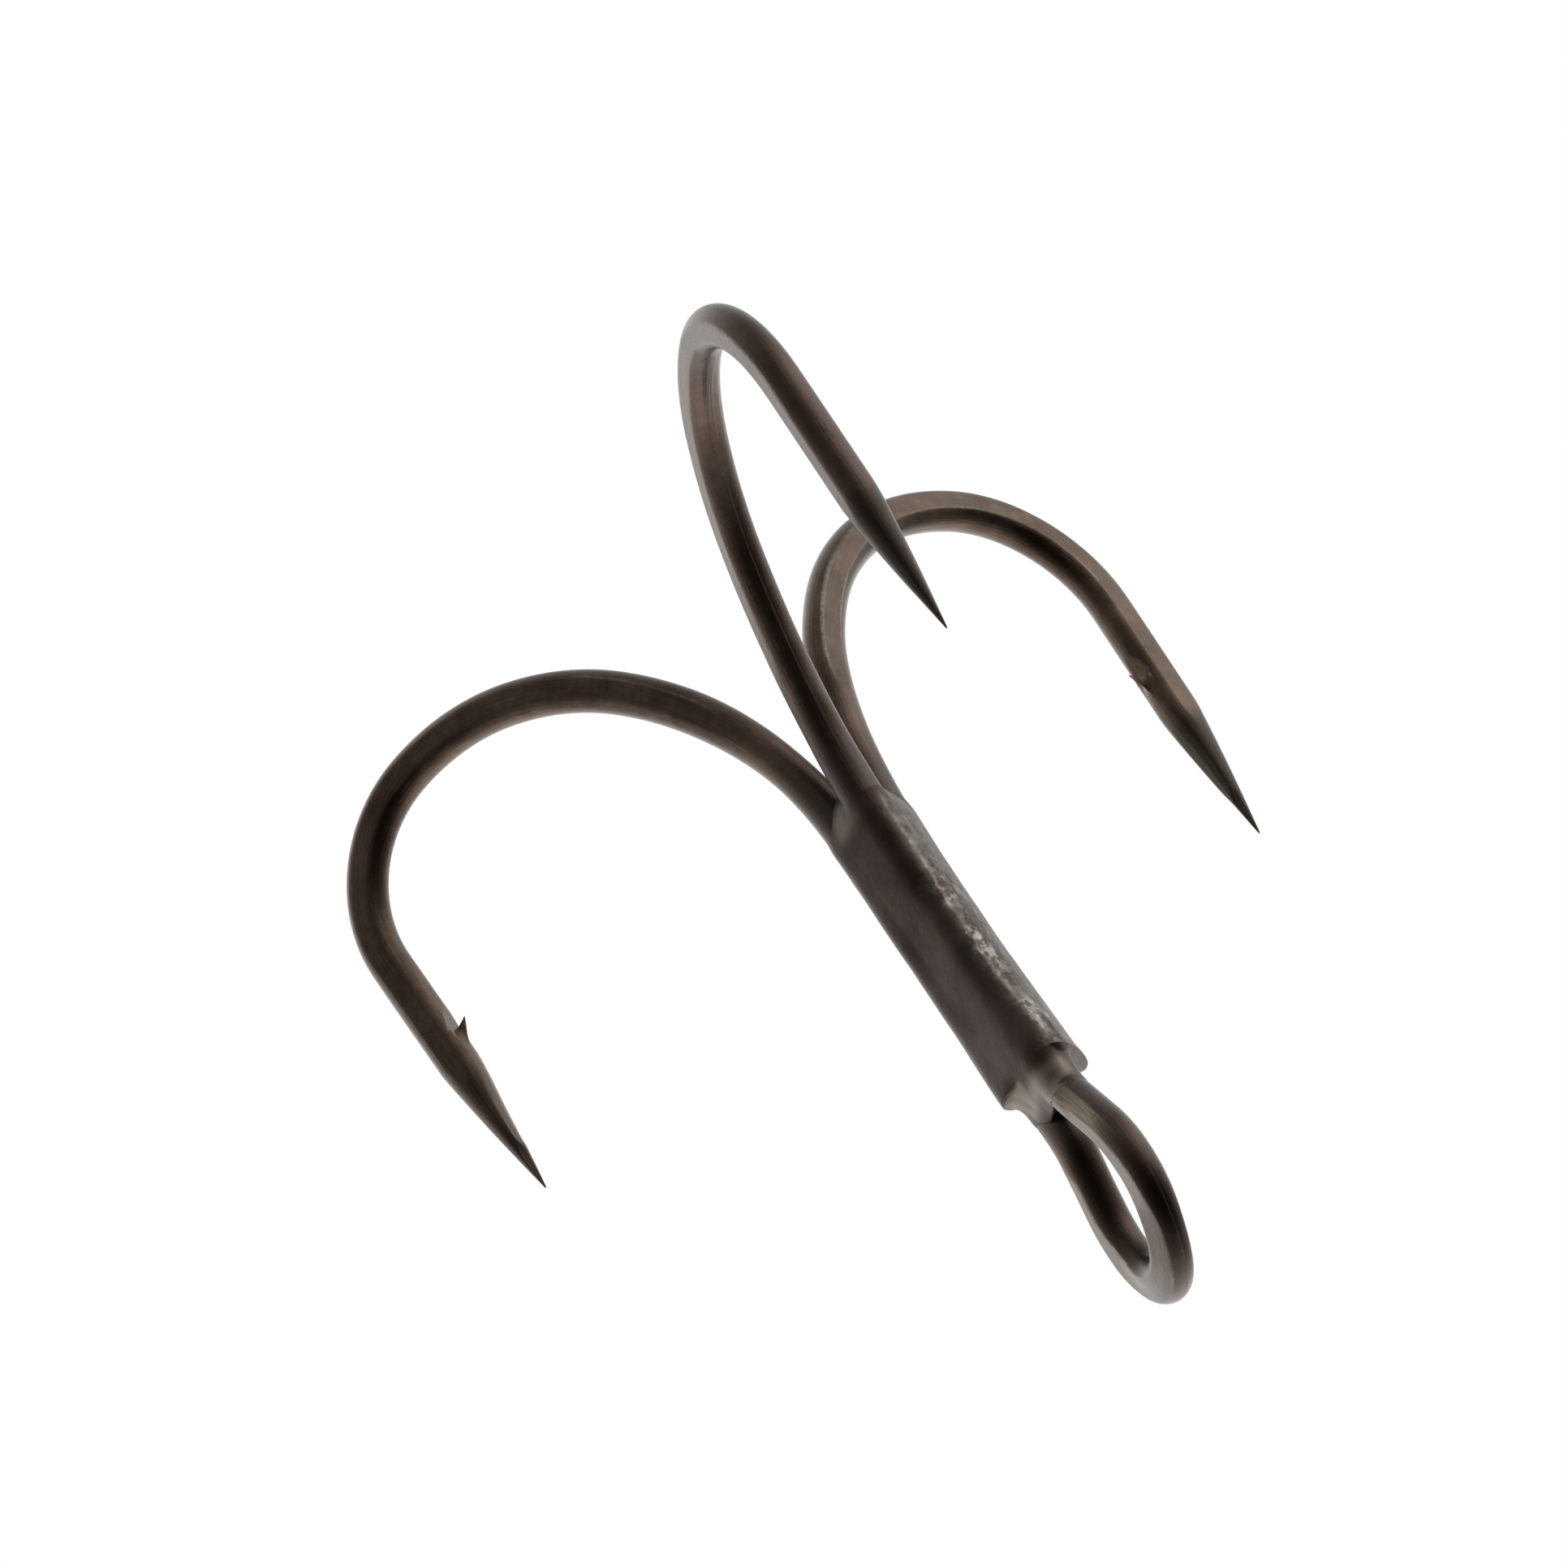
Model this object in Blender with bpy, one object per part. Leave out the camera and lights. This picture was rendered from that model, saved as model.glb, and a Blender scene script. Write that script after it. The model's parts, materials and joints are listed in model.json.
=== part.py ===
"""Treble hook: one eyed hook and two plain hooks, their three shanks brazed into one.

Own frame: metres, +Z up along the shank, the eye at the top. The origin is the
point inside the crown of the eye that a split ring or a line bears on. The eye
lies in the XZ plane, and so, within half a degree, does the hook made from the
same wire, which points to +X. The shank's axis runs parallel to Z, a little to the
-X side of the origin, because the eye leans toward +X.

Sizes are in millimetres. A planar path is a list of (out, z), where out is the
distance outward from the shank's axis or, in the eye, from the origin. A heading
is an angle in radians: 0 runs down, pi/2 runs outward.
"""
import math
from collections import namedtuple

import bmesh
import bpy
import numpy as np
from mathutils import Vector

MM = 0.001

# ---------------------------------------------------------------- wire
SHANK_R = 0.485  # round wire in the brazed shank
BEND_R = 0.540  # in the bend, where forging spreads the wire in the hook's plane
BEND_SIDE_R = 0.478  # and squeezes it across that plane
BEND_FLAT = 0.458  # half thickness between the forged side faces of the bend
BEND_SPREAD_RUN = 1.5  # outward distance over which the shank's section becomes the bend's
TIP_R = 0.025  # blunt end of the ground point
POINT_TAPER = 4.10  # length of the ground point
POINT_FULLNESS = 0.22  # how far the ground point swells beyond a plain cone

# ---------------------------------------------------------------- shank bundle
SHANK_X = -0.12  # the shank's axis from the bearing point of the eye
SHANK_OFF = 0.600  # wire centre from the shank's axis
CUT_Z = -5.27  # the plain shanks are cut off here, below the eye
BOW_TOP_Z, BOW_Z, BOW_END_Z = -9.0, -15.3, -19.5  # a bowed wire leaves, peaks, is back in place
BOW_REACH = 6.0  # the bow moves only what lies nearer the axis than this

# ---------------------------------------------------------------- the three hooks
# azimuth it points to in degrees, z where its flare starts, length of its point leg,
# how far it bows out below the braze, free end of its barb from the tip
Hook = namedtuple("Hook", "azimuth flare_z point_leg bow barb_at")
HOOKS = {
    "plain_hook_a": Hook(127.0, -13.15, 7.40, 0.0, 4.99),
    "plain_hook_b": Hook(240.8, -12.93, 7.58, 0.20, 5.38),
    "eyed_hook": Hook(0.4, -12.25, 7.40, 0.0, 5.10),
}

# arcs of every bend from the flare to the point leg: (radius, degrees)
BEND_ARCS = (
    (11.2, 41.5),  # flare
    (7.5, 25.0),  # lower shank
    (5.95, 32.5),  # heel
    (3.57, 83.3),  # turn
)

# ---------------------------------------------------------------- eye
EYE_TOP_R, EYE_TOP_DEG = 1.92, 6.0  # top of the crown, in steps of twice this
NEAR_CROWN = (2.19, 74.7)  # radius, degrees: the shank's own leg runs wider and lower
FAR_CROWN = (1.72, 69.3)  # the returning leg is tighter
EYE_LEG_R, EYE_LEG_DEG = 2.27, 27.9
EYE_LEG_STRAIGHT = 1.52
EYE_NECK_R = 1.67
EYE_LEG_WIRE_R = 0.490
EYE_LEG_RUN = 2.5  # height over which the shank's wire becomes the leg's
EYE_CROWN_WIRE_R = 0.600
EYE_CROWN_SIDE_R = 0.480
CROWN_SPREAD_Z, CROWN_SPREAD_RUN = -2.9, 2.4  # the crown's section starts here, full after the run
EYE_FLAT = 0.430  # half thickness of the forged crown
TAG_Z = -4.72  # the eye's free end butts on the braze here
NECK_LOW_Z = -7.25  # the near leg has swung back into the bundle here
NECK_STEPS = 8

# ---------------------------------------------------------------- barb
BARB_LIFT = 0.29  # free end above the wire
BARB_WIDTH = 0.30
BARB_CUT = 0.22  # depth of the cut the barb is raised from
BARB_CUT_WIDTH = 1.4
BARB_OVERHANG = 0.19  # free end beyond the bottom of the cut

# ---------------------------------------------------------------- braze
BRAZE_FILM = 0.100  # braze over the outside of the wires in the middle of the shank
BRAZE_TOP_FILM = 0.165  # and at the cut ends
BRAZE_NECK_FILM = 0.05  # and over the legs of the eye
BRAZE_LOW_SIDE = 0.02  # it lies thicker on one side of the shank: below
BRAZE_SIDE = 0.080  # and above
BRAZE_SIDE_AZ = -70.0
BRAZE_CLEAR = 0.012  # clearance left between the braze and each wire
BRAZE_LOW_Z = -14.22
BRAZE_SPREAD_Z = -12.97
BRAZE_TOP_Z = -4.15
BRAZE_SIDES = 40
WEB_RINGS = 6
WEB_SCALE = 0.34  # lowest ring as a share of the full outline
BODY_RINGS = 13
NECK_LEVELS = (0.10, 0.22, 0.38, 0.58, 0.80, 1.0)  # shares of the height above the shoulder
SHOULDER_SHARE = 0.82  # how much of the shoulder's ledge carries up past the cut ends
BUNDLE_REACH = 2.6  # wire further from the Z axis than this is not in the bundle

# ---------------------------------------------------------------- mesh
SIDES = 16  # round the wire
HALF_SIDE = math.pi / SIDES
STEP = 0.42  # longest step along a path
EYE_LEG_STEP = 0.5
SHANK_STEP = 0.9
MERGE_DIST = 1e-7  # metres
SHARP_DEG = 32.0

# ---------------------------------------------------------------- finishes
FINISHES = {  # base colour, roughness
    "eyed_hook": ((0.045, 0.040, 0.040), 0.30),
    "plain_hook_a": ((0.047, 0.041, 0.040), 0.30),
    "plain_hook_b": ((0.046, 0.041, 0.041), 0.30),
    "braze_joint": ((0.115, 0.105, 0.100), 0.46),
}
METALLIC = 1.0


# ---------------------------------------------------------------- blending
def smooth(t):
    t = min(1.0, max(0.0, t))
    return t * t * (3 - 2 * t)


def blend(start, end, share):
    return start + (end - start) * share


def bend_share(out):
    """0 in the shank, 1 where the wire has the bend's full section."""
    return smooth((out - SHANK_OFF) / BEND_SPREAD_RUN)


def crown_share(z):
    """0 in the legs of the eye, 1 where the wire has the crown's full section."""
    return smooth((z - CROWN_SPREAD_Z) / CROWN_SPREAD_RUN)


# ---------------------------------------------------------------- paths
def arc(path, heading, radius, degrees, step=STEP):
    """Carry a planar path on by an arc and return the new heading."""
    out, z = path[-1]
    turn = math.radians(degrees)
    steps = max(3, int(math.ceil(abs(turn) * radius / step)))
    sign = 1.0 if turn >= 0 else -1.0
    for i in range(1, steps + 1):
        angle = heading + turn * i / steps
        path.append(
            (
                out + sign * radius * (math.cos(heading) - math.cos(angle)),
                z - sign * radius * (math.sin(angle) - math.sin(heading)),
            )
        )
    return heading + turn


def straight(path, heading, length, step=STEP):
    """Carry a planar path straight on."""
    out, z = path[-1]
    steps = max(1, int(math.ceil(length / step)))
    for i in range(1, steps + 1):
        run = length * i / steps
        path.append((out + run * math.sin(heading), z - run * math.cos(heading)))


def bend_path(hook):
    """Wire centre line from the start of the flare to the point, and its last heading."""
    path = [(SHANK_OFF, hook.flare_z)]
    heading = 0.0
    for radius, degrees in BEND_ARCS:
        heading = arc(path, heading, radius, degrees)
    straight(path, heading, hook.point_leg - POINT_TAPER)
    straight(path, heading, POINT_TAPER, step=0.30)
    return path, heading


def shank_path(top_z, flare_z):
    path = [(SHANK_OFF, top_z)]
    straight(path, 0.0, top_z - flare_z, SHANK_STEP)
    return path


def bow_at(z, bow):
    """How far a wire stands out of its place in the bundle, most where it leaves the braze."""
    if z > BOW_Z:
        return bow * smooth((BOW_TOP_Z - z) / (BOW_TOP_Z - BOW_Z))
    return bow * (1 - smooth((BOW_Z - z) / (BOW_Z - BOW_END_Z)))


def in_plane(path, hook):
    """Stand a planar path up in the hook's plane, bowed out as that hook is."""
    azimuth = math.radians(hook.azimuth)
    cos_az, sin_az = math.cos(azimuth), math.sin(azimuth)
    line = []
    for out, z in path:
        if out < BOW_REACH:
            out += bow_at(z, hook.bow)
        line.append(Vector((SHANK_X + out * cos_az, out * sin_az, z)))
    return line


def eye_side(crown_radius, crown_degrees):
    """One side of the eye from the crown down to the neck.

    The first point is half a step round the crown's top, so that the two sides meet
    in one level stretch whose inner side is the bearing face at z = 0.
    """
    half = math.radians(EYE_TOP_DEG)
    z = EYE_CROWN_WIRE_R * math.cos(HALF_SIDE) * math.cos(half)
    path = [
        (EYE_TOP_R * math.sin(k * half), z - EYE_TOP_R * (math.cos(half) - math.cos(k * half)))
        for k in (1, 3)
    ]
    heading = math.pi / 2 - 3 * half
    heading = arc(path, heading, crown_radius, -crown_degrees, step=0.36)
    heading = arc(path, heading, EYE_LEG_R, -EYE_LEG_DEG)
    straight(path, heading, EYE_LEG_STRAIGHT, EYE_LEG_STEP)
    heading = arc(path, heading, EYE_NECK_R, EYE_LEG_DEG, step=0.28)
    return path, heading


def eye_line(hook):
    """From the free end round the eye and down the neck into the bundle."""
    far, heading = eye_side(*FAR_CROWN)
    straight(far, heading, far[-1][1] - TAG_Z, EYE_LEG_STEP)
    near, _ = eye_side(*NEAR_CROWN)
    line = [Vector((-out, 0.0, z)) for out, z in reversed(far)]
    line += [Vector((out, 0.0, z)) for out, z in near]
    start = line[-1]
    end = in_plane([(SHANK_OFF, NECK_LOW_Z)], hook)[0]
    for i in range(1, NECK_STEPS + 1):
        t = i / NECK_STEPS
        swing = smooth(t)
        x, y = blend(start.x, end.x, swing), blend(start.y, end.y, swing)
        line.append(Vector((x, y, blend(start.z, end.z, t))))
    return line


def wire_radii(line):
    """Radius at each point: shank, spread bend, ground point."""
    run = [0.0]
    for start, end in zip(line[:-1], line[1:]):
        run.append(run[-1] + (end - start).length)
    radii = []
    for point, done in zip(line, run):
        share = bend_share(math.hypot(point.x - SHANK_X, point.y))
        radius = blend(SHANK_R, BEND_R, share)
        left = run[-1] - done
        if left < POINT_TAPER:
            t = left / POINT_TAPER
            radius = blend(TIP_R, radius, (1 + POINT_FULLNESS) * t - POINT_FULLNESS * t * t)
        radii.append(radius)
    return radii


def add_eye_radii(line, radii):
    """Give the wire the eye's own leg and crown sizes above the neck."""
    for i, point in enumerate(line):
        if point.z > NECK_LOW_Z:
            leg = blend(SHANK_R, EYE_LEG_WIRE_R, smooth((point.z - NECK_LOW_Z) / EYE_LEG_RUN))
            radii[i] = blend(leg, EYE_CROWN_WIRE_R, crown_share(point.z))


# ---------------------------------------------------------------- objects
def new_collection(name):
    collection = bpy.data.collections.new(name)
    bpy.context.scene.collection.children.link(collection)
    return collection


def settle(ob):
    """Turn a curve or a modifier stack into a plain mesh object of the same name."""
    bpy.context.view_layer.update()
    evaluated = ob.evaluated_get(bpy.context.evaluated_depsgraph_get())
    mesh = bpy.data.meshes.new_from_object(evaluated)
    name, matrix, collection = ob.name, ob.matrix_world.copy(), ob.users_collection[0]
    bpy.data.objects.remove(ob, do_unlink=True)
    bm = bmesh.new()
    bm.from_mesh(mesh)
    bmesh.ops.remove_doubles(bm, verts=bm.verts, dist=MERGE_DIST)
    bmesh.ops.recalc_face_normals(bm, faces=bm.faces)
    bm.to_mesh(mesh)
    bm.free()
    settled = bpy.data.objects.new(name, mesh)
    settled.matrix_world = matrix
    collection.objects.link(settled)
    return settled


def wire(name, line, radii, collection, grow=0.0):
    """A capped round wire along a line, with a flat of its section at top and bottom."""
    curve = bpy.data.curves.new(name, "CURVE")
    curve.dimensions = "3D"
    curve.twist_mode = "MINIMUM"
    curve.fill_mode = "FULL"
    curve.use_fill_caps = True
    curve.bevel_depth = 1.0 * MM  # scaled by each point's radius
    curve.bevel_resolution = (SIDES - 4) // 2
    spline = curve.splines.new("POLY")
    spline.points.add(len(line) - 1)
    for knot, point, radius in zip(spline.points, line, radii):
        knot.co = (point.x * MM, point.y * MM, point.z * MM, 1.0)
        knot.radius = radius + grow
        knot.tilt = HALF_SIDE
    ob = bpy.data.objects.new(name, curve)
    collection.objects.link(ob)
    return settle(ob)


def upright_prism(name, points, depth, azimuth, axis_x=SHANK_X, shift=0.0):
    """A cutter: an (out, z) outline in the upright plane at an azimuth, moved sideways by shift.

    It is extruded both ways across that plane to the given depth.
    """
    curve = bpy.data.curves.new(name, "CURVE")
    curve.dimensions = "2D"
    curve.fill_mode = "BOTH"
    curve.extrude = depth / 2 * MM
    spline = curve.splines.new("POLY")
    spline.points.add(len(points) - 1)
    for knot, (out, z) in zip(spline.points, points):
        knot.co = (out * MM, z * MM, 0.0, 1.0)
    spline.use_cyclic_u = True
    ob = bpy.data.objects.new(name, curve)
    cutters.objects.link(ob)
    turn = math.radians(azimuth)
    ob.rotation_euler = (math.pi / 2, 0.0, turn)
    ob.location = ((axis_x - math.sin(turn) * shift) * MM, math.cos(turn) * shift * MM, 0.0)
    return settle(ob)


def boolean(ob, cutter, operation):
    """Apply a boolean; the cutter stays in the scene, hidden from renders."""
    cutter.display_type = "WIRE"
    cutter.hide_render = True
    modifier = ob.modifiers.new(operation.lower(), "BOOLEAN")
    modifier.operation = operation
    modifier.solver = "EXACT"
    modifier.object = cutter
    return settle(ob)


def finish(ob, colour, roughness):
    material = bpy.data.materials.new(ob.name + "_finish")
    material.use_nodes = True
    bsdf = next(n for n in material.node_tree.nodes if n.type == "BSDF_PRINCIPLED")
    bsdf.inputs["Base Color"].default_value = (*colour, 1.0)
    bsdf.inputs["Roughness"].default_value = roughness
    bsdf.inputs["Metallic"].default_value = METALLIC
    material.diffuse_color = (*colour, 1.0)
    material.metallic = METALLIC
    material.roughness = roughness
    ob.data.materials.clear()
    ob.data.materials.append(material)
    ob.data.shade_smooth()
    ob.data.set_sharp_from_angle(angle=math.radians(SHARP_DEG))


# ---------------------------------------------------------------- hooks
def squeeze(ob, azimuth, eye):
    """Make the round wire oval: thinner across the hook's plane in the bend and in the eye."""
    turn = math.radians(azimuth)
    cos_az, sin_az = math.cos(turn), math.sin(turn)
    for vert in ob.data.vertices:
        x, y, z = vert.co.x / MM - SHANK_X, vert.co.y / MM, vert.co.z / MM
        if eye and z > NECK_LOW_Z:
            vert.co.y = y * blend(1, EYE_CROWN_SIDE_R / EYE_CROWN_WIRE_R, crown_share(z)) * MM
            continue
        out, across = x * cos_az + y * sin_az, -x * sin_az + y * cos_az
        across *= blend(1, BEND_SIDE_R / BEND_R, bend_share(out))
        vert.co.x = (SHANK_X + out * cos_az - across * sin_az) * MM
        vert.co.y = (out * sin_az + across * cos_az) * MM


def forge_bend(ob, hook):
    """Press the two side faces of a bend flat, leaving the round shank alone."""
    inner, outer = 0.95, 14.5
    low, high = hook.flare_z - 13.0, hook.flare_z + 3.0
    depth = 1.0
    for side, word in ((1, "left"), (-1, "right")):
        slab = upright_prism(
            f"forge_{ob.name}_{word}",
            [(inner, low), (outer, low), (outer, high), (inner, high)],
            depth,
            hook.azimuth,
            shift=side * (BEND_FLAT + depth / 2),
        )
        ob = boolean(ob, slab, "DIFFERENCE")
    return ob


def forge_eye(ob):
    """Press the eye flat on its +Y (front) and -Y (back) faces, easing out down the legs."""
    top, flat_low, low = 1.2, -0.75, -2.7
    outer = 1.6
    for side, word in ((1, "front"), (-1, "back")):
        press = upright_prism(
            f"forge_eye_{word}",
            [  # y, z
                (side * EYE_FLAT, top),
                (side * EYE_FLAT, flat_low),
                (side * (EYE_LEG_WIRE_R + 0.04), low),
                (side * outer, low),
                (side * outer, top),
            ],
            depth=5.6,
            azimuth=90.0,
            axis_x=0.0,
        )
        ob = boolean(ob, press, "DIFFERENCE")
    return ob


def add_barb(ob, hook, tip, heading):
    """Cut into the inner side of the point leg and raise the barb, free end toward the bend."""

    def on_leg(points):
        """(back from the tip, inward from the wire's centre) to (out, z)."""
        return [
            (
                tip[0] - math.sin(heading) * back + math.cos(heading) * inward,
                tip[1] + math.cos(heading) * back + math.sin(heading) * inward,
            )
            for back, inward in points
        ]

    heel = hook.barb_at - BARB_OVERHANG
    floor = BEND_R - BARB_CUT
    notch = [
        (heel, floor),
        (heel + 0.62, BEND_R + 0.03),
        (heel + 0.62, BEND_R + 0.40),
        (heel + 0.14, BEND_R + 0.40),
    ]
    spur = [
        (heel - 0.90, BEND_R - 0.20),
        (heel - 0.42, BEND_R + 0.05),
        (heel - 0.22, BEND_R + 0.11),
        (hook.barb_at, BEND_R + BARB_LIFT),
        (heel + 0.015, floor + 0.05),
        (heel - 0.12, floor - 0.10),
    ]
    cutter = upright_prism(f"cut_{ob.name}", on_leg(notch), BARB_CUT_WIDTH, hook.azimuth)
    ob = boolean(ob, cutter, "DIFFERENCE")
    raised = upright_prism(f"barb_{ob.name}", on_leg(spur), BARB_WIDTH, hook.azimuth)
    return boolean(ob, raised, "UNION")


def build_hook(name, hook):
    """Build one hook and return it with its centre line and wire radii."""
    eye = name == "eyed_hook"
    bend, heading = bend_path(hook)
    if eye:
        shank = shank_path(NECK_LOW_Z, hook.flare_z)
        line = eye_line(hook) + in_plane(shank[1:-1] + bend, hook)
    else:
        shank = shank_path(CUT_Z, hook.flare_z)
        line = in_plane(shank[:-1] + bend, hook)
    radii = wire_radii(line)
    if eye:
        add_eye_radii(line, radii)
    ob = wire(name, line, radii, parts)
    squeeze(ob, hook.azimuth, eye)
    ob = forge_bend(ob, hook)
    if eye:
        ob = forge_eye(ob)
    return add_barb(ob, hook, bend[-1], heading), (line, radii)


# ---------------------------------------------------------------- braze
def hull_radius(circles, angles, side=0.0):
    """Distance from the axis to the outline drawn tight round some circles, at each angle.

    The outline stands further out by side toward BRAZE_SIDE_AZ and further in opposite.
    """
    facing = np.linspace(-math.pi, math.pi, 720, endpoint=False)
    normals = np.stack([np.cos(facing), np.sin(facing)], 1)
    centres = np.array([[x, y] for x, y, _ in circles])
    radii = np.array([radius for _, _, radius in circles])
    outermost = (normals @ centres.T + radii).argmax(1)
    hull = centres[outermost] + radii[outermost][:, None] * normals
    hull_angles = np.arctan2(hull[:, 1], hull[:, 0])
    order = np.argsort(hull_angles)
    hull_angles = hull_angles[order]
    hull_radii = np.hypot(hull[:, 0], hull[:, 1])[order]
    # straight runs between circles are filled in from the chord
    distances = []
    for angle in angles:
        angle = (angle + math.pi) % (2 * math.pi) - math.pi
        j = np.searchsorted(hull_angles, angle) % len(hull_angles)
        i = j - 1
        x0 = hull_radii[i] * math.cos(hull_angles[i])
        y0 = hull_radii[i] * math.sin(hull_angles[i])
        x1 = hull_radii[j] * math.cos(hull_angles[j])
        y1 = hull_radii[j] * math.sin(hull_angles[j])
        slant = math.cos(angle) * (y1 - y0) - math.sin(angle) * (x1 - x0)
        if abs(slant) < 1e-9:
            distances.append(hull_radii[j])
        else:
            distances.append((x0 * (y1 - y0) - y0 * (x1 - x0)) / slant)
    lean = np.cos(np.array(angles) - math.radians(BRAZE_SIDE_AZ))
    return np.array(distances) + side * lean


def section_at(wires, z, film):
    """Circles (x, y from the axis, radius) of the bundled wires at a level, grown by the film."""
    circles = []
    for line, radii in wires.values():
        for start, end, radius in zip(line[:-1], line[1:], radii):
            crosses = (start.z - z) * (end.z - z) <= 0 and start.z != end.z
            if crosses and math.hypot(start.x, start.y) < BUNDLE_REACH:
                hit = start.lerp(end, (z - start.z) / (end.z - start.z))
                circles.append((hit.x - SHANK_X, hit.y, radius + film))
    return circles


def braze_rings(wires, angles):
    """Rings (z, radius at each angle) from the bottom up."""
    rings = []
    # below the flare the outline pulls in to the web between the parting wires
    lowest = section_at(wires, BRAZE_SPREAD_Z, BRAZE_FILM)
    full = hull_radius(lowest, angles, BRAZE_LOW_SIDE)
    for i in range(WEB_RINGS):
        t = i / WEB_RINGS
        scale = blend(WEB_SCALE, 1.0, math.sin(math.pi / 2 * t) ** 1.2)
        rings.append((blend(BRAZE_LOW_Z, BRAZE_SPREAD_Z, t), full * scale))

    # round the three shanks, thickening toward the cut ends
    for z in np.linspace(BRAZE_SPREAD_Z, CUT_Z - 0.05, BODY_RINGS):
        film = blend(BRAZE_FILM, BRAZE_TOP_FILM, smooth((z - (CUT_Z - 4.0)) / 3.5))
        side = blend(BRAZE_LOW_SIDE, BRAZE_SIDE, smooth((z + 12.5) / 3.0))
        rings.append((z, hull_radius(section_at(wires, z, film), angles, side)))

    # above the cut ends the shoulder falls away to the two legs of the eye
    shoulder = rings[-1][1]
    free_end = wires["eyed_hook"][0][0]
    for t in NECK_LEVELS:
        z = blend(CUT_Z + 0.06, BRAZE_TOP_Z, t)
        circles = section_at(wires, z, BRAZE_NECK_FILM)
        if z < TAG_Z:
            circles.append((free_end.x - SHANK_X, 0.0, EYE_LEG_WIRE_R + BRAZE_NECK_FILM))
        legs = hull_radius(circles, angles)
        ledge = (1 - t) ** 3.0 * SHOULDER_SHARE
        rings.append((z, legs + np.maximum(shoulder - legs, 0.0) * ledge))
    return rings


def build_braze(wires):
    """A loft whose outline follows the wires, bored out for each of them."""
    angles = [2 * math.pi * i / BRAZE_SIDES for i in range(BRAZE_SIDES)]
    bm = bmesh.new()
    loops = [
        [
            bm.verts.new(((SHANK_X + r * math.cos(a)) * MM, r * math.sin(a) * MM, z * MM))
            for a, r in zip(angles, radii)
        ]
        for z, radii in braze_rings(wires, angles)
    ]
    for low, high in zip(loops[:-1], loops[1:]):
        for i in range(BRAZE_SIDES):
            j = (i + 1) % BRAZE_SIDES
            bm.faces.new((low[i], low[j], high[j], high[i]))
    bm.faces.new(list(reversed(loops[0])))
    bm.faces.new(loops[-1])
    mesh = bpy.data.meshes.new("braze_joint")
    bm.to_mesh(mesh)
    bm.free()
    ob = bpy.data.objects.new("braze_joint", mesh)
    parts.objects.link(ob)
    for name, (line, radii) in wires.items():
        bore = wire("bore_" + name, line, radii, cutters, grow=BRAZE_CLEAR)
        ob = boolean(ob, bore, "DIFFERENCE")
    return ob


# ---------------------------------------------------------------- build
for old in list(bpy.data.objects):
    bpy.data.objects.remove(old, do_unlink=True)

parts = new_collection("treble_hook")
cutters = new_collection("cutters")
cutters.hide_render = True

pieces = {}
wires = {}
for name, hook in HOOKS.items():
    pieces[name], wires[name] = build_hook(name, hook)
pieces["braze_joint"] = build_braze(wires)

for name, (colour, roughness) in FINISHES.items():
    finish(pieces[name], colour, roughness)
bpy.context.view_layer.update()
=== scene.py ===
import json
import math

import bmesh
import bpy
import numpy as np
from mathutils import Matrix, Vector

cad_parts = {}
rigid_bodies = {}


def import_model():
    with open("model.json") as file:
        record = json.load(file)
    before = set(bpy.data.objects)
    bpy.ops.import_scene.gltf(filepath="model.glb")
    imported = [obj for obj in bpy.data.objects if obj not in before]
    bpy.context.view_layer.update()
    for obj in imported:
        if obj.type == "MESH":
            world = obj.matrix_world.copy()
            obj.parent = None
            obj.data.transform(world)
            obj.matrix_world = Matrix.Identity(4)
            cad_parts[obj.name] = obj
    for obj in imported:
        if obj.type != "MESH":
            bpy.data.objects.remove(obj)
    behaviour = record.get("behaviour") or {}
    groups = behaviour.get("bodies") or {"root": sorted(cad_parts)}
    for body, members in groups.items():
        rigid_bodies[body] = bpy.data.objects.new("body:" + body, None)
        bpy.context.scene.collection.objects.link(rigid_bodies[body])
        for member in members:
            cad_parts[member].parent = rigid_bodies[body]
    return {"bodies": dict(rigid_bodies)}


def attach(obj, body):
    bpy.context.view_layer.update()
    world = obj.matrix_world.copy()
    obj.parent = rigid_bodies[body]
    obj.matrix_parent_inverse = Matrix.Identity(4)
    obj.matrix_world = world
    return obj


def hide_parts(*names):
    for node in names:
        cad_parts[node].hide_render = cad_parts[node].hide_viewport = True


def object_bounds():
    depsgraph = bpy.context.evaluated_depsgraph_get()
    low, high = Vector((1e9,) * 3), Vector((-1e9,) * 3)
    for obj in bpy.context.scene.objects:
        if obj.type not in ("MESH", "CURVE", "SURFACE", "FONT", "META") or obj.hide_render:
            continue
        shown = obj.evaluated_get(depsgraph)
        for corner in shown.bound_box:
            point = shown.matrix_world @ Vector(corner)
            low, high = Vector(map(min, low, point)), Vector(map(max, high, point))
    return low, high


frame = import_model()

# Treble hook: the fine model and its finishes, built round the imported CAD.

MM = 0.001
cad_lo, cad_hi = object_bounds()
cad_box = [list(cad_lo), list(cad_hi)]

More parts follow.
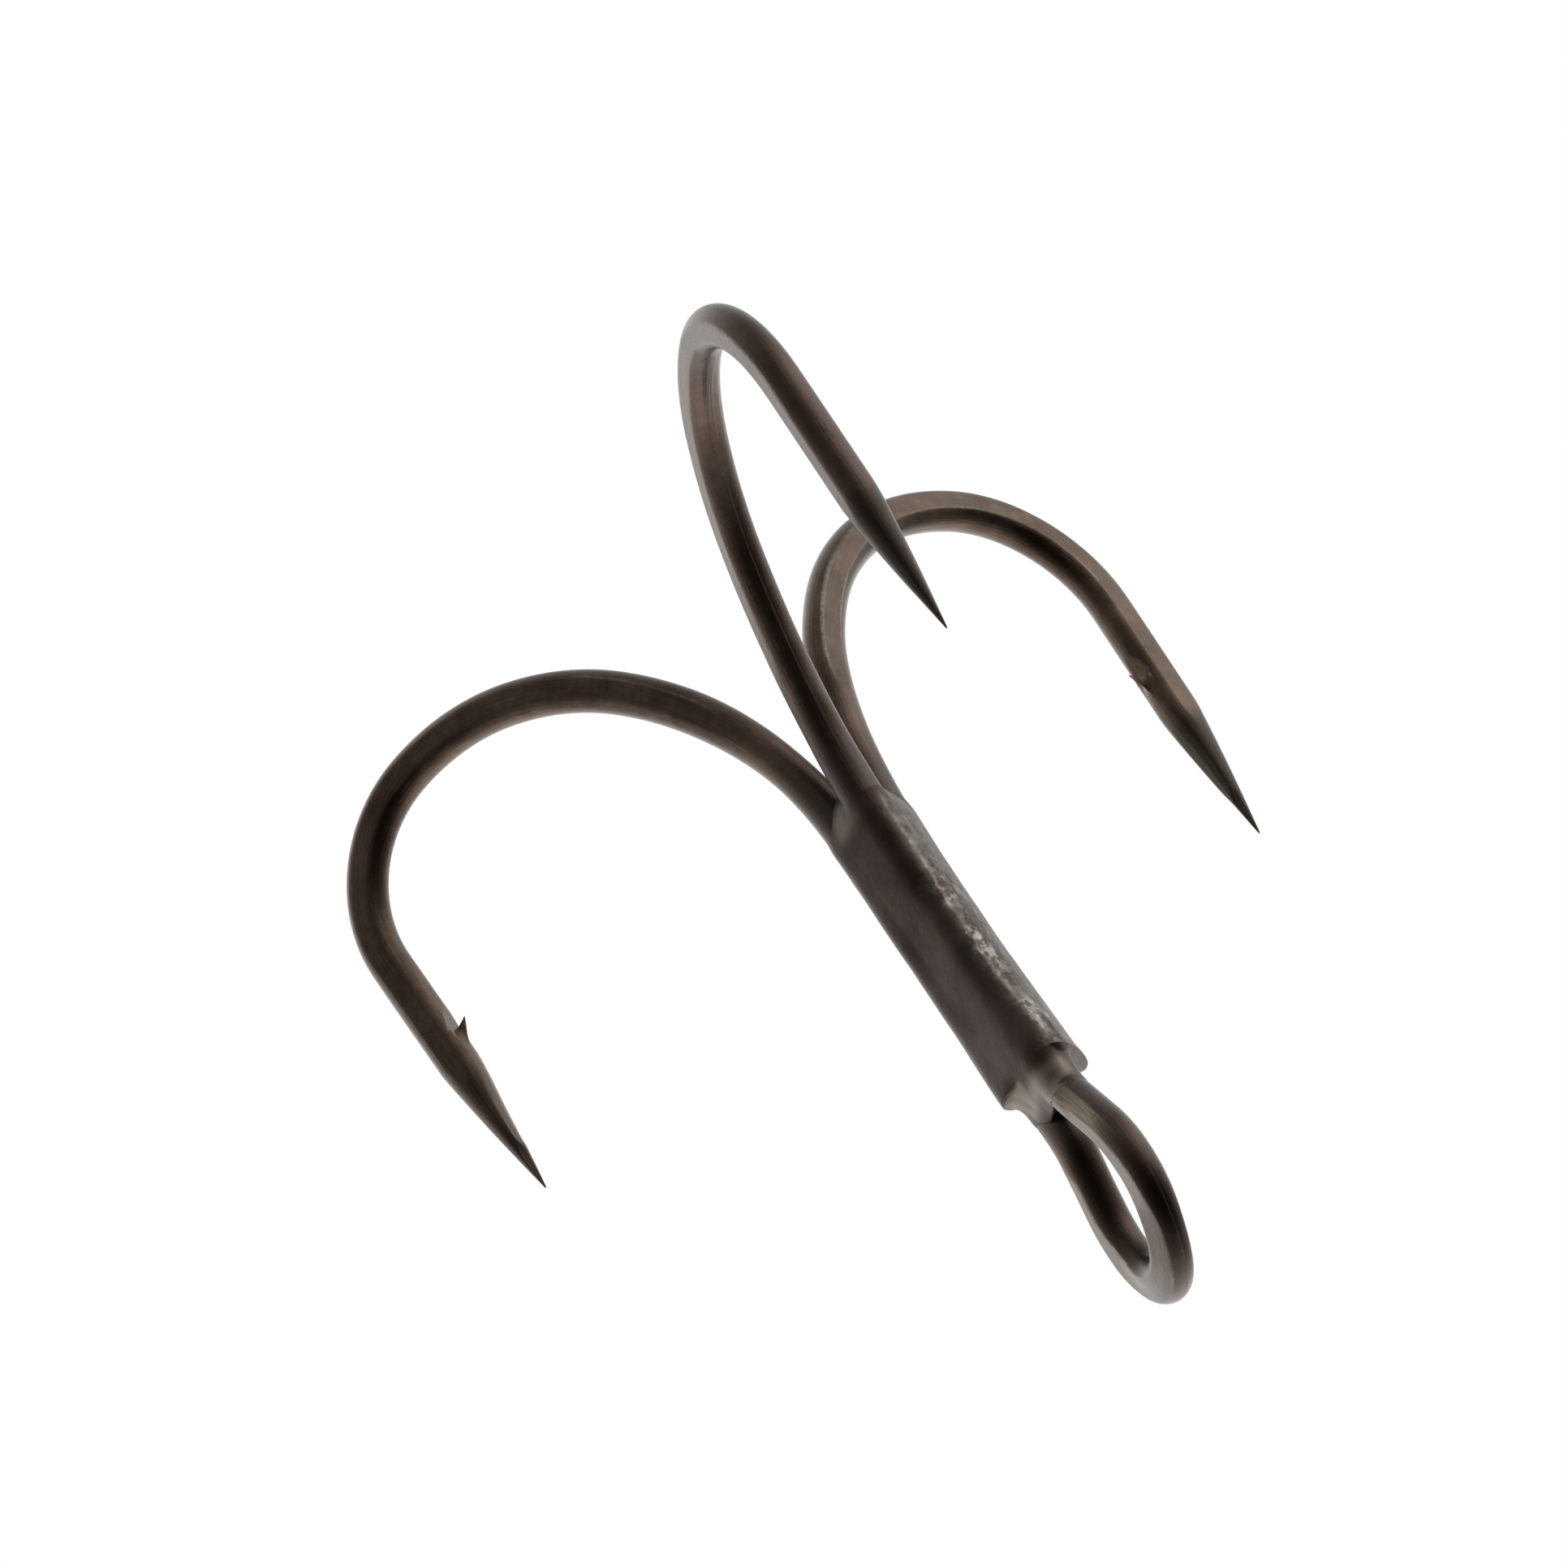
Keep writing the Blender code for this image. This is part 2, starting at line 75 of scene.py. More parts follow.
# ---------------------------------------------------------------- sizes, in mm, as in the CAD
SHANK_R, BEND_R, BEND_SIDE_R, BEND_FLAT = 0.487, 0.540, 0.496, 0.437
TIP_R, POINT_TAPER = 0.020, 4.10
BENDS = ((11.2, 41.5), (7.5, 25.0), (5.95, 32.5), (3.57, 83.3))
SHANK_X, SHANK_OFF = -0.12, 0.600
CUT_Z = -5.27
BOW_TOP_Z, BOW_Z, BOW_END_Z = -9.0, -15.3, -19.5
EYE_TOP = (1.92, 18.0)
NEAR = ((1.92, 18.0), (2.19, 74.7), (2.27, 27.9), (None, 1.52), (1.67, -27.9))
FAR = ((1.92, 18.0), (1.72, 69.3), (2.27, 27.9), (None, 1.52), (1.67, -27.9))
EYE_LEG_R, EYE_CROWN_R, EYE_CROWN_SIDE_R, EYE_FLAT = 0.490, 0.600, 0.500, 0.405
TAG_Z, NECK_LOW_Z = -4.72, -7.25
NEAR_FACE = math.radians(50.0)
BARB_LIFT, BARB_CUT = 0.29, 0.135
HOOKS = {
    # name: azimuth, flare z, point leg, bow, barb free end from the tip
    "eyed_hook": (0.4, -12.25, 7.40, 0.0, 5.10),
    "plain_hook_a": (127.0, -13.15, 7.40, 0.0, 4.99),
    "plain_hook_b": (240.8, -12.93, 7.58, 0.20, 5.38),
}
BRAZE_LOW_Z, BRAZE_SPREAD_Z, BRAZE_TOP_Z = -14.35, -12.97, -4.15


def smooth(t):
    t = np.clip(t, 0.0, 1.0)
    return t * t * (3 - 2 * t)


# ---------------------------------------------------------------- noise, the same every run
def lattice(i, j, k, seed):
    v = np.sin(i * 127.1 + j * 311.7 + k * 74.7 + seed * 53.3) * 43758.5453
    return v - np.floor(v)


def value_noise(p, scale, seed=0):
    """Smooth noise from -1 to 1 at points p (n x 3, mm), one bump per scale mm."""
    q = np.asarray(p, float) / scale
    f = np.floor(q)
    t = q - f
    t = t * t * (3 - 2 * t)
    out = np.zeros(len(q))
    for dx in (0, 1):
        for dy in (0, 1):
            for dz in (0, 1):
                w = (
                    (t[:, 0] if dx else 1 - t[:, 0])
                    * (t[:, 1] if dy else 1 - t[:, 1])
                    * (t[:, 2] if dz else 1 - t[:, 2])
                )
                out += w * lattice(f[:, 0] + dx, f[:, 1] + dy, f[:, 2] + dz, seed)
    return out * 2 - 1


def fbm(p, scale, octaves=3, seed=0):
    out, amp, total = np.zeros(len(p)), 1.0, 0.0
    for o in range(octaves):
        out += amp * value_noise(p, scale / 2**o, seed + 17 * o)
        total += amp
        amp *= 0.5
    return out / total


# ---------------------------------------------------------------- centre lines
def trace(start, heading, pieces, ds=0.02):
    """Points (outward, z) along arcs and straights. Heading 0 runs down, 90 outward."""
    h, z = start
    pts = [(h, z)]
    for radius, amount in pieces:
        length = amount if radius is None else abs(math.radians(amount)) * radius
        n = max(2, int(length / ds))
        turn = 0.0 if radius is None else math.radians(amount)
        for _ in range(n):
            a = heading + turn / n / 2
            h += math.sin(a) * length / n
            z -= math.cos(a) * length / n
            heading += turn / n
            pts.append((h, z))
    return pts, heading


def even(points, ds=0.02, blur=0.16):
    """Evenly spaced copy of a line with its curvature jumps eased, ends kept."""
    p = np.array(points, float)
    s = np.concatenate([[0], np.cumsum(np.linalg.norm(np.diff(p, axis=0), axis=1))])
    keep = np.concatenate([[True], np.diff(s) > 1e-9])
    p, s = p[keep], s[keep]
    n = int(s[-1] / ds)
    u = np.linspace(0, s[-1], n)
    q = np.stack([np.interp(u, s, p[:, i]) for i in range(p.shape[1])], 1)
    w = int(3 * blur / ds)
    x = np.arange(-w, w + 1) * ds
    g = np.exp(-0.5 * (x / blur) ** 2)
    g /= g.sum()
    lead = 2 * q[0] - q[1 : w + 1][::-1]
    tail = 2 * q[-1] - q[-w - 1 : -1][::-1]
    e = np.concatenate([lead, q, tail])
    return np.stack([np.convolve(e[:, i], g, "valid") for i in range(q.shape[1])], 1)


def bow(z, out):
    up = smooth((BOW_TOP_Z - z) / (BOW_TOP_Z - BOW_Z))
    down = 1 - smooth((BOW_Z - z) / (BOW_Z - BOW_END_Z))
    return out * np.where(z > BOW_Z, up, down)


def hook_line(name):
    """Centre line of one wire in mm as n x 2 (outward, z), upper end first."""
    az, flare_z, leg, out, free_end = HOOKS[name]
    bend, heading = trace((SHANK_OFF, flare_z), 0.0, BENDS + ((None, leg),))
    if name == "eyed_hook":
        half = math.radians(6.0)
        z = EYE_CROWN_R * math.cos(math.pi / 16) * math.cos(half)
        z += 1.92 * (1 - math.cos(half))
        near, a = trace((0.0, z), math.pi / 2, tuple((r, -d if r else d) for r, d in NEAR))
        far, b = trace((0.0, z), math.pi / 2, tuple((r, -d if r else d) for r, d in FAR))
        far.append((far[-1][0] + (far[-1][1] - TAG_Z) * math.tan(b), TAG_Z))
        loop = [(-h, v) for h, v in reversed(far)] + near[1:]
        start, end = loop[-1], (SHANK_X + SHANK_OFF, NECK_LOW_Z)
        for i in range(1, 80):
            t = i / 80
            loop.append(
                (start[0] + (end[0] - start[0]) * float(smooth(t)), start[1] + (end[1] - start[1]) * t)
            )
        pts = [(h - SHANK_X, v) for h, v in loop] + bend
    else:
        pts = [(SHANK_OFF, CUT_Z)] + bend
    p = even(pts)
    p[:, 0] += np.where(p[:, 0] < 6.0, bow(p[:, 1], out), 0.0)
    return p


def frames(name):
    """Centre line, tangent, inner side and across directions in 3-D, arc length, distance to the tip."""
    az = HOOKS[name][0]
    p = hook_line(name)
    s = np.concatenate([[0], np.cumsum(np.linalg.norm(np.diff(p, axis=0), axis=1))])
    angle = np.full(len(p), math.radians(az))
    if name == "eyed_hook":
        angle = math.radians(az) * smooth((-7.0 - p[:, 1]) / 4.0)
    c, si = np.cos(angle), np.sin(angle)
    xyz = np.stack([SHANK_X + p[:, 0] * c, p[:, 0] * si, p[:, 1]], 1)
    t2 = np.gradient(p, axis=0)
    t2 /= np.linalg.norm(t2, axis=1)[:, None]
    # heading a: tangent is (sin a, -cos a), the inner side of the bend is (cos a, sin a)
    n2 = np.stack([-t2[:, 1], t2[:, 0]], 1)
    T = np.stack([t2[:, 0] * c, t2[:, 0] * si, t2[:, 1]], 1)
    N = np.stack([n2[:, 0] * c, n2[:, 0] * si, n2[:, 1]], 1)
    B = np.stack([-si, c, np.zeros(len(p))], 1)
    return xyz, T, N, B, s, s[-1] - s


# ---------------------------------------------------------------- wire sections
def softmin(values, sharp):
    v = np.stack(values)
    return (v ** (-sharp)).sum(0) ** (-1.0 / sharp)


def oval(theta, a, b):
    return 1.0 / np.sqrt((np.cos(theta) / a) ** 2 + (np.sin(theta) / b) ** 2)


def facet(theta, at, d):
    c = np.cos(theta - at)
    return np.where(c > 0.05, d / np.maximum(c, 0.05), 50.0)


def build_wire(name):
    az, flare_z, leg, out, free_end = HOOKS[name]
    xyz, T, N, B, s, q = frames(name)
    total = s[-1]
    heel = free_end - 0.19
    # stations: close together at the barb and the point, wider along the shank
    stations = []
    u = 0.0
    while u < total:
        stations.append(u)
        left = total - u
        if left < 0.5:
            step = 0.02
        elif heel - 1.0 < left < heel + 0.75:
            step = 0.018
        elif left < 5.5:
            step = 0.04
        elif -13.5 < np.interp(u, s, xyz[:, 2]) < -5.6 and left > 14:
            step = 0.16
        else:
            step = 0.055
        u += step
    stations = [v for v in stations if abs((total - v) - heel) > 0.010]
    stations += [total - heel - 0.004, total - heel + 0.003, total]
    u = np.array(sorted(stations))
    n_side = 72
    # a little closer together round the inner side, where the barb is
    base = np.linspace(0, 2 * math.pi, n_side, endpoint=False)
    theta = base - 0.28 * np.sin(base)

    def at(arr):
        return np.stack([np.interp(u, s, arr[:, i]) for i in range(3)], 1)

    C, Tn, Nn, Bn = at(xyz), at(T), at(N), at(B)
    left = total - u
    outw = np.hypot(C[:, 0] - SHANK_X, C[:, 1])
    z = C[:, 2]
    in_eye = (z > NECK_LOW_Z) & (name == "eyed_hook") & (left > 15)
    k = smooth((outw - 0.60) / 1.5) * ~in_eye
    wet = 0.045 * smooth((z + 16.2) / 2.8) * (outw < 3.0) * ~in_eye
    a = SHANK_R + (BEND_R - SHANK_R) * k + wet
    b = SHANK_R + (BEND_SIDE_R - SHANK_R) * k + wet
    flat = 0.60 + (BEND_FLAT - 0.60) * k
    if name == "eyed_hook":
        legs = smooth((z - NECK_LOW_Z) / 2.5)
        crown = smooth((z + 2.9) / 2.4)
        ae = SHANK_R + (EYE_LEG_R - SHANK_R) * legs
        ae = ae + (EYE_CROWN_R - ae) * crown + 0.026 * smooth((-3.3 - z) / 1.0) * (C[:, 0] < 0)
        be = SHANK_R + (0.500 - SHANK_R) * legs
        be = be + (EYE_CROWN_SIDE_R - be) * crown + 0.022 * smooth((-3.3 - z) / 1.0) * (C[:, 0] < 0)
        fe = 0.62 - (0.62 - 0.462) * smooth((z + np.where(C[:, 0] < 0, 4.0, 4.5)) / 1.2)
        fe = fe + (EYE_FLAT - fe) * smooth((z + 2.4) / 2.0)
        a, b, flat = np.where(in_eye, ae, a), np.where(in_eye, be, b), np.where(in_eye, fe, flat)
    # the ground point
    t = np.clip(left / POINT_TAPER, 0, 1)
    f = 1.22 * t - 0.22 * t * t
    ap = TIP_R + (a - TIP_R) * f
    bp = TIP_R + (b - TIP_R) * np.minimum(1.0, f * 1.04)
    th = theta[None, :]
    r = oval(th, ap[:, None], bp[:, None])
    flats = np.minimum(flat, 5.0)[:, None]
    parts = [r]
    tilt = math.radians(13) * (smooth((z + 0.9) / 1.2) * in_eye)[:, None]
    for side in (1, -1):
        parts.append(facet(th, side * (math.pi / 2 - tilt), flats))
    if name == "eyed_hook":
        # one broad pressed face along the near leg, turned out of the eye's plane
        press = smooth((z + 4.5) / 0.9) * (1 - smooth((z + 3.1) / 1.3)) * (C[:, 0] > 0) * in_eye
        parts.append(facet(th, NEAR_FACE, (0.56 - 0.118 * press)[:, None]))
    soft = 32.0 if name == "plain_hook_a" else 60.0
    r = softmin(parts, soft)
    # the inner side is ground to one broad face from the barb on, and the last of the point to an edge
    broad = smooth((4.75 - left) / 0.5) * smooth((left - 0.9) / 0.7)
    keen = 1 - smooth((left - 0.9) / 0.9)
    parts = [r]
    for side in (1, -1):
        parts.append(facet(th, side * math.radians(9), (ap * (1.12 - (0.17 + 0.17 * smooth((3.9 - left) / 1.8)) * broad))[:, None]))
        parts.append(facet(th, side * math.radians(50), (ap * (1.10 - 0.25 * keen))[:, None]))
        side_face = 1.08 - (0.05 if name == "plain_hook_b" else 0.145) * smooth((4.4 - left) / 3.0)
        parts.append(facet(th, side * math.radians(128), (ap * side_face)[:, None]))
    r = softmin(parts, 75.0 - 37.0 * smooth(ap / 0.40)[:, None])
    # surface is never perfectly even
    P = C[:, None, :] + r[:, :, None] * (
        np.cos(th)[:, :, None] * Nn[:, None, :] + np.sin(th)[:, :, None] * Bn[:, None, :]
    )
    wob = 0.0045 * fbm(P.reshape(-1, 3), 1.6, 3, seed=len(name)).reshape(r.shape)
    wob *= smooth(left / 1.5)[:, None]
    keep_bearing = (np.abs(C[:, 0]) < 0.5) & (z > -0.5)
    wob[keep_bearing] *= 0.3
    r = r + wob
    # hollow of the barb's cut, a ramp down toward the point
    ramp = (left > heel) & (left < heel + 0.95)
    depth = BEND_R - BARB_CUT + (BARB_CUT + 0.02) * np.clip((left - heel) / 0.90, 0, 1)
    cut = facet(th, 0.0, depth[:, None])
    r = np.where(ramp[:, None], softmin([r, cut], 90.0), r)
    # the raised sliver
    shift = np.zeros_like(r)
    chip = (left <= heel) & (left > heel - 0.95)
    if chip.any():
        w = np.clip((left - (heel - 0.95)) / 0.95, 0, 1)
        w = np.where(chip, w, 0.0)
        lift = w**4.4
        apex, foot = BEND_R + BARB_LIFT + (0.07 if name == "plain_hook_b" else 0.0), BEND_R - BARB_CUT
        half = BEND_SIDE_R * math.sqrt(1 - (foot / BEND_R) ** 2) * 0.74
        c, si = np.cos(th), np.abs(np.sin(th))
        # ray against the sliver's sloping side, slightly hollow
        den = c * half + si * (apex - foot)
        tri = np.where(den > 1e-6, apex * half / np.maximum(den, 1e-6), 50.0)
        corner = math.atan2(half, foot)
        ang = np.minimum(th, 2 * math.pi - th)
        m = 1 - smooth((ang - corner * 0.75) / (corner * 0.5))
        hollow = 1 - 0.16 * np.sin(np.clip(ang / corner, 0, 1) * math.pi)
        target = tri * hollow * m + r * (1 - m)
        r = r + lift[:, None] * (target - r) * m
        x = r * c
        up = np.clip((x - foot) / (apex - foot), 0, 1.2)
        shift = -0.19 * up**2.2 * (w**7)[:, None] * (np.cos(th) > 0)
    P = (
        C[:, None, :]
        + r[:, :, None]
        * (np.cos(th)[:, :, None] * Nn[:, None, :] + np.sin(th)[:, :, None] * Bn[:, None, :])
        + shift[:, :, None] * Tn[:, None, :]
    )
    if name == "eyed_hook":
        # fine ragged crack where the braze ends on the near leg
        wave = 0.035 * np.sin(3 * theta + 1.0) + 0.10 * np.cos(theta + 0.6)
        crack = np.exp(-(((z[:, None] + 4.115 - wave[None, :]) / 0.030) ** 2))
        crack *= ((C[:, 0] > 0.2) & in_eye)[:, None]
        P -= 0.040 * crack[:, :, None] * (
            np.cos(th)[:, :, None] * Nn[:, None, :] + np.sin(th)[:, :, None] * Bn[:, None, :]
        )
    else:
        crack = np.zeros_like(r)
    # how sharply the section turns at each vertex, for wear and painted highlight along the edges
    fore, aft = np.roll(P, -1, 1) - P, P - np.roll(P, 1, 1)
    cosang = (fore * aft).sum(2) / (np.linalg.norm(fore, axis=2) * np.linalg.norm(aft, axis=2) + 1e-12)
    turn = np.arccos(np.clip(cosang, -1, 1)) / (2 * math.pi / n_side)
    outward = ((aft - fore) * (P - C[:, None, :])).sum(2) > 0
    edge = np.clip((turn - 1.9) / 2.2, 0, 1) * outward
    pale = np.zeros_like(r)
    if name == "eyed_hook":
        d_face = np.abs((th - NEAR_FACE + math.pi) % (2 * math.pi) - math.pi)
        pale = press[:, None] * (1 - smooth((d_face - 0.40) / 0.14))
    film = 0.30 * smooth((z + 15.6) / 1.5) * (outw < 3.0) * (z < -9) * ~in_eye
    if name == "eyed_hook":
        film = np.maximum(film, (1 - smooth((z + 4.55) / 1.25)) * (C[:, 0] < 0) * in_eye)
    film = np.repeat(film[:, None], n_side, axis=1)
    # darker near the braze and along the eyed hook's point leg; painted shade round the outside of the crown and inside
    # the far leg
    darkening_and_shade = np.repeat((0.75 * smooth((z + 16.6) / 2.6) * (outw < 3.2) * (z < -9) * ~in_eye)[:, None], n_side, axis=1)
    if name == "eyed_hook":
        hub = np.array([0.0, 0.0, -1.92])
        reach = np.linalg.norm(P - hub, axis=2) - np.linalg.norm(C - hub, axis=1)[:, None]
        outer = smooth((reach - 0.10) / 0.25) * (0.62 * smooth((z + 2.3) / 1.4) * in_eye)[:, None]
        inner = smooth((-reach - 0.05) / 0.25) * (0.62 * smooth((z + 4.5) / 0.8) * (C[:, 0] < 0) * in_eye)[:, None]
        leg_ = (0.42 * smooth((11.0 - left) / 2.5) * smooth(left / 1.5))[:, None]
        darkening_and_shade = np.maximum(np.maximum(darkening_and_shade, leg_), np.maximum(outer, inner))
    n = len(u)
    bm = bmesh.new()
    rings = [[bm.verts.new(Vector(P[i, j] * MM)) for j in range(n_side)] for i in range(n)]
    for i in range(n - 1):
        lo, hi = rings[i], rings[i + 1]
        for j in range(n_side):
            k2 = (j + 1) % n_side
            bm.faces.new((lo[j], hi[j], hi[k2], lo[k2]))
    first = bm.verts.new(Vector((C[0] - 0.02 * Tn[0]) * MM))
    last = bm.verts.new(Vector((C[-1] + 0.012 * Tn[-1]) * MM))
    for j in range(n_side):
        k2 = (j + 1) % n_side
        bm.faces.new((first, rings[0][j], rings[0][k2]))
        bm.faces.new((rings[-1][j], last, rings[-1][k2]))
    bmesh.ops.recalc_face_normals(bm, faces=bm.faces)
    mesh = bpy.data.meshes.new(name + "_fine")
    bm.to_mesh(mesh)
    bm.free()
    # attributes the finish reads: distance to the tip, place along the wire, and round it
    d_tip = np.concatenate([np.repeat(left, n_side), [left[0], left[-1]]])
    along = np.concatenate([np.repeat(u, n_side), [u[0], u[-1]]])
    around = np.concatenate([np.tile(theta, n), [0.0, 0.0]])
    ends = np.zeros(2)
    masks = {k: np.concatenate([v.reshape(-1), ends]) for k, v in (("edge", edge), ("crack", crack), ("pale", pale), ("film", film), ("darkening_and_shade", darkening_and_shade))}
    for key, data in (("tip_mm", d_tip), ("along_mm", along), ("around", around), *masks.items()):
        at_ = mesh.attributes.new(key, "FLOAT", "POINT")
        at_.data.foreach_set("value", data.astype(np.float32))
    ob = bpy.data.objects.new(name + "_fine", mesh)
    bpy.context.scene.collection.objects.link(ob)
    mesh.shade_smooth()
    mesh.set_sharp_from_angle(angle=math.radians(38))
    return ob, (C, a, b)


# ---------------------------------------------------------------- braze
def support_outline(circles, angles, lean=0.0, tight=16.0):
    """Outline drawn round circles (x, y, r), as distance from the axis at each angle."""
    th = np.linspace(-math.pi, math.pi, 1440, endpoint=False)
    n = np.stack([np.cos(th), np.sin(th)], 1)
    c = np.array([[x, y] for x, y, r in circles])
    r = np.array([r for x, y, r in circles])
    h = n @ c.T + r
    top = h.max(1, keepdims=True)
    hs = (top[:, 0] + np.log(np.exp(tight * (h - top)).sum(1)) / tight)
    dh = np.gradient(hs, th)
    px = hs * n[:, 0] - dh * n[:, 1]
    py = hs * n[:, 1] + dh * n[:, 0]
    ang = np.arctan2(py, px)
    rad = np.hypot(px, py)
    order = np.argsort(ang)
    ang, rad = ang[order], rad[order]
    a = (np.asarray(angles) + math.pi) % (2 * math.pi) - math.pi
    out = np.interp(a, np.concatenate([ang - 2 * math.pi, ang, ang + 2 * math.pi]), np.tile(rad, 3))
    return out + lean * np.cos(a - math.radians(-70.0))


def wires_at(z, lines, film):
    found = []
    for name, (C, a, b) in lines.items():
        s = C[:, 2]
        inside = np.hypot(C[:, 0], C[:, 1]) < 2.6
        hit = np.where((s[:-1] - z) * (s[1:] - z) <= 0)[0]
        for i in hit:
            if not inside[i] or s[i] == s[i + 1]:
                continue
            t = (z - s[i]) / (s[i + 1] - s[i])
            p = C[i] * (1 - t) + C[i + 1] * t
            rad = 0.495
            if not any(abs(p[0] - SHANK_X - x) < 0.02 and abs(p[1] - y) < 0.02 for x, y, r in found):
                found.append((p[0] - SHANK_X, p[1], rad + film))
    return found


def circle_reach(phi, x, y, radius):
    """How far from the axis a circle reaches at each angle, 0 where the ray misses it."""
    m, beta = math.hypot(x, y), math.atan2(y, x)
    d = phi - beta
    under = radius**2 - (m * np.sin(d)) ** 2
    return np.where((under > 0) & (np.cos(d) > 0), m * np.cos(d) + np.sqrt(np.maximum(under, 0)), 0.0)


def smoothmax(a, b, sharp=24.0, fillet=1.0):
    top = np.maximum(a, b)
    return top + fillet * np.log(np.exp(sharp * (a - top)) + np.exp(sharp * (b - top))) / sharp


def legs_shape(phi, m1, m2, radius1, radius2, hull=True):
    """Outline of the eye's two legs at each angle: joined by a web, or each by itself."""
    c, s = np.cos(phi), np.maximum(np.abs(np.sin(phi)), 1e-6)

    def circ(m, rad):
        return m * np.abs(c) + np.sqrt(np.maximum(rad**2 - (m * s) ** 2, 0))

    if not hull:
        near = np.where((c > 0) & (m1 * s < radius1), circ(m1, radius1), 0.0)
        far = np.where((c < 0) & (m2 * s < radius2), circ(m2, radius2), 0.0)
        return np.maximum(near, far)
    rad = 0.5 * (radius1 + radius2)
    line = rad / s
    x = line * c
    return np.where(x > m1, circ(m1, rad), np.where(x < -m2, circ(m2, rad), line))


def build_braze(lines):
    n = 232
    phi = np.linspace(0, 2 * math.pi, n, endpoint=False)
    deg = (np.degrees(phi) + 180) % 360 - 180

    def between(lo, hi, soft):
        """1 inside an arc of angles (degrees), easing to 0 over soft degrees outside it."""
        mid, half = (lo + hi) / 2, (hi - lo) / 2
        d = np.abs((deg - mid + 180) % 360 - 180)
        return 1 - smooth((d - half) / soft)

    rows_z, rows_r = [], []
    # the parting wires: the film sinks into each wire and a web hangs between them
    for zz in np.linspace(BRAZE_LOW_Z, BRAZE_SPREAD_Z, 46, endpoint=False):
        t = (BRAZE_SPREAD_Z - zz) / (BRAZE_SPREAD_Z - BRAZE_LOW_Z)
        web = support_outline(wires_at(zz, lines, 0.085 - 0.07 * float(smooth(t))), phi, 0.02 * (1 - t), 26.0)
        web = web * (0.22 + 0.78 * math.sqrt(max(0.0, 1 - t**2.2)))
        film = 0.085 - 0.100 * float(smooth(t / 0.95))
        skin = np.zeros(n)
        for x, y, rad in wires_at(zz, lines, film):
            skin = np.maximum(skin, circle_reach(phi, x, y, rad))
        skin = skin + 0.02 * (1 - t) * np.cos(phi - math.radians(-70.0))
        rows_z.append(np.full(n, zz))
        rows_r.append(smoothmax(skin, web, 30.0, float(smooth(t / 0.35))))
    near_c = lines["eyed_hook"][0]
    mask = (near_c[:, 0] > 0.2) & (near_c[:, 2] < -3.0) & (near_c[:, 2] > -9)
    order = np.argsort(near_c[mask, 2])
    near_z, near_x = near_c[mask, 2][order], near_c[mask, 0][order]
    far_mask = (near_c[:, 0] < -0.2) & (near_c[:, 2] < -3.0)
    order = np.argsort(near_c[far_mask, 2])
    far_z, far_x = near_c[far_mask, 2][order], near_c[far_mask, 0][order]

    def legs(z, film1, film2, hull=True):
        m1 = np.interp(z, near_z, near_x) - SHANK_X
        m2 = SHANK_X - np.interp(z, far_z, far_x)
        return legs_shape(phi, m1, m2, EYE_LEG_R + film1, EYE_LEG_R + film2, hull)

    front = between(12, 56, 44) * (1 - between(-100, -11, 9))
    left_end = between(96, 190, 40)
    right_end = between(-150, -16, 14)
    ease_lo, ease_hi = CUT_Z - 0.42, -4.42
    for zz in np.linspace(BRAZE_SPREAD_Z, CUT_Z - 0.045, 205):
        k = float(smooth((zz - (CUT_Z - 4.0)) / 3.5))
        film = 0.085 + 0.070 * k
        side = 0.02 + 0.060 * float(smooth((zz + 12.5) / 3.0))
        body = support_outline(wires_at(zz, lines, film), phi, side, 26.0)
        if zz > ease_lo:
            low = legs(zz, 0.05, 0.05)
            body = body - front * np.maximum(body - low, 0) * float(smooth((zz - ease_lo) / (ease_hi - ease_lo)))
        rows_z.append(np.full(n, zz))
        rows_r.append(body)
    circles = wires_at(CUT_Z - 0.045, lines, 0.155)
    shoulder = support_outline(circles, phi, 0.08, 26.0)
    top_z = -4.26 + 0.12 * between(-20, 20, 12) + 0.48 * between(150, 210, 16)
    m = 64
    power = 4.4 + 12.6 * right_end
    for i in range(1, m + 1):
        t = (i / m) ** 1.75
        z = CUT_Z - 0.045 + (top_z - CUT_Z + 0.045) * t
        far_film = 0.035 - 0.060 * smooth((z + 4.95) / 1.10)
        near_film = np.where(np.full(n, i) >= m, -0.03, 0.040 - 0.012 * t)
        joined = legs(z, 0.05, 0.05)
        wrap = legs(z, near_film, far_film, hull=False)
        gone = np.clip((z + 4.78) / 0.54, 0, 1)
        web = joined * (0.34 + 0.66 * np.sqrt(np.maximum(0, 1 - gone**2.2)))
        low = smoothmax(wrap, web, 34.0, smooth((z + 5.2) / 0.45)) if i < m else np.maximum(wrap, web)
        u = np.clip((z - CUT_Z + 0.045) / 1.15, 0, 1)
        fall = (1 - u) ** power * (1 - 0.10 * left_end * np.minimum(1.0, u * 12))
        gentle = 1 - smooth((z - ease_lo) / (ease_hi - ease_lo))
        fall = front * gentle + (1 - front) * fall
        rows_z.append(z)
        rows_r.append(low + np.maximum(shoulder - low, 0.0) * fall)
    Z, R = np.array(rows_z), np.array(rows_r)
    zs = Z[:, 0]
    P = np.stack([SHANK_X + R * np.cos(phi)[None, :], R * np.sin(phi)[None, :], Z], 2)
    flat_p = P.reshape(-1, 3)
    lump = (
        0.018 * fbm(flat_p * [1, 1, 0.5], 1.6, 2, 3)
        + 0.008 * fbm(flat_p * [1, 1, 0.8], 0.45, 2, 9)
        + 0.0022 * fbm(flat_p, 0.15, 2, 21)
    ).reshape(R.shape)
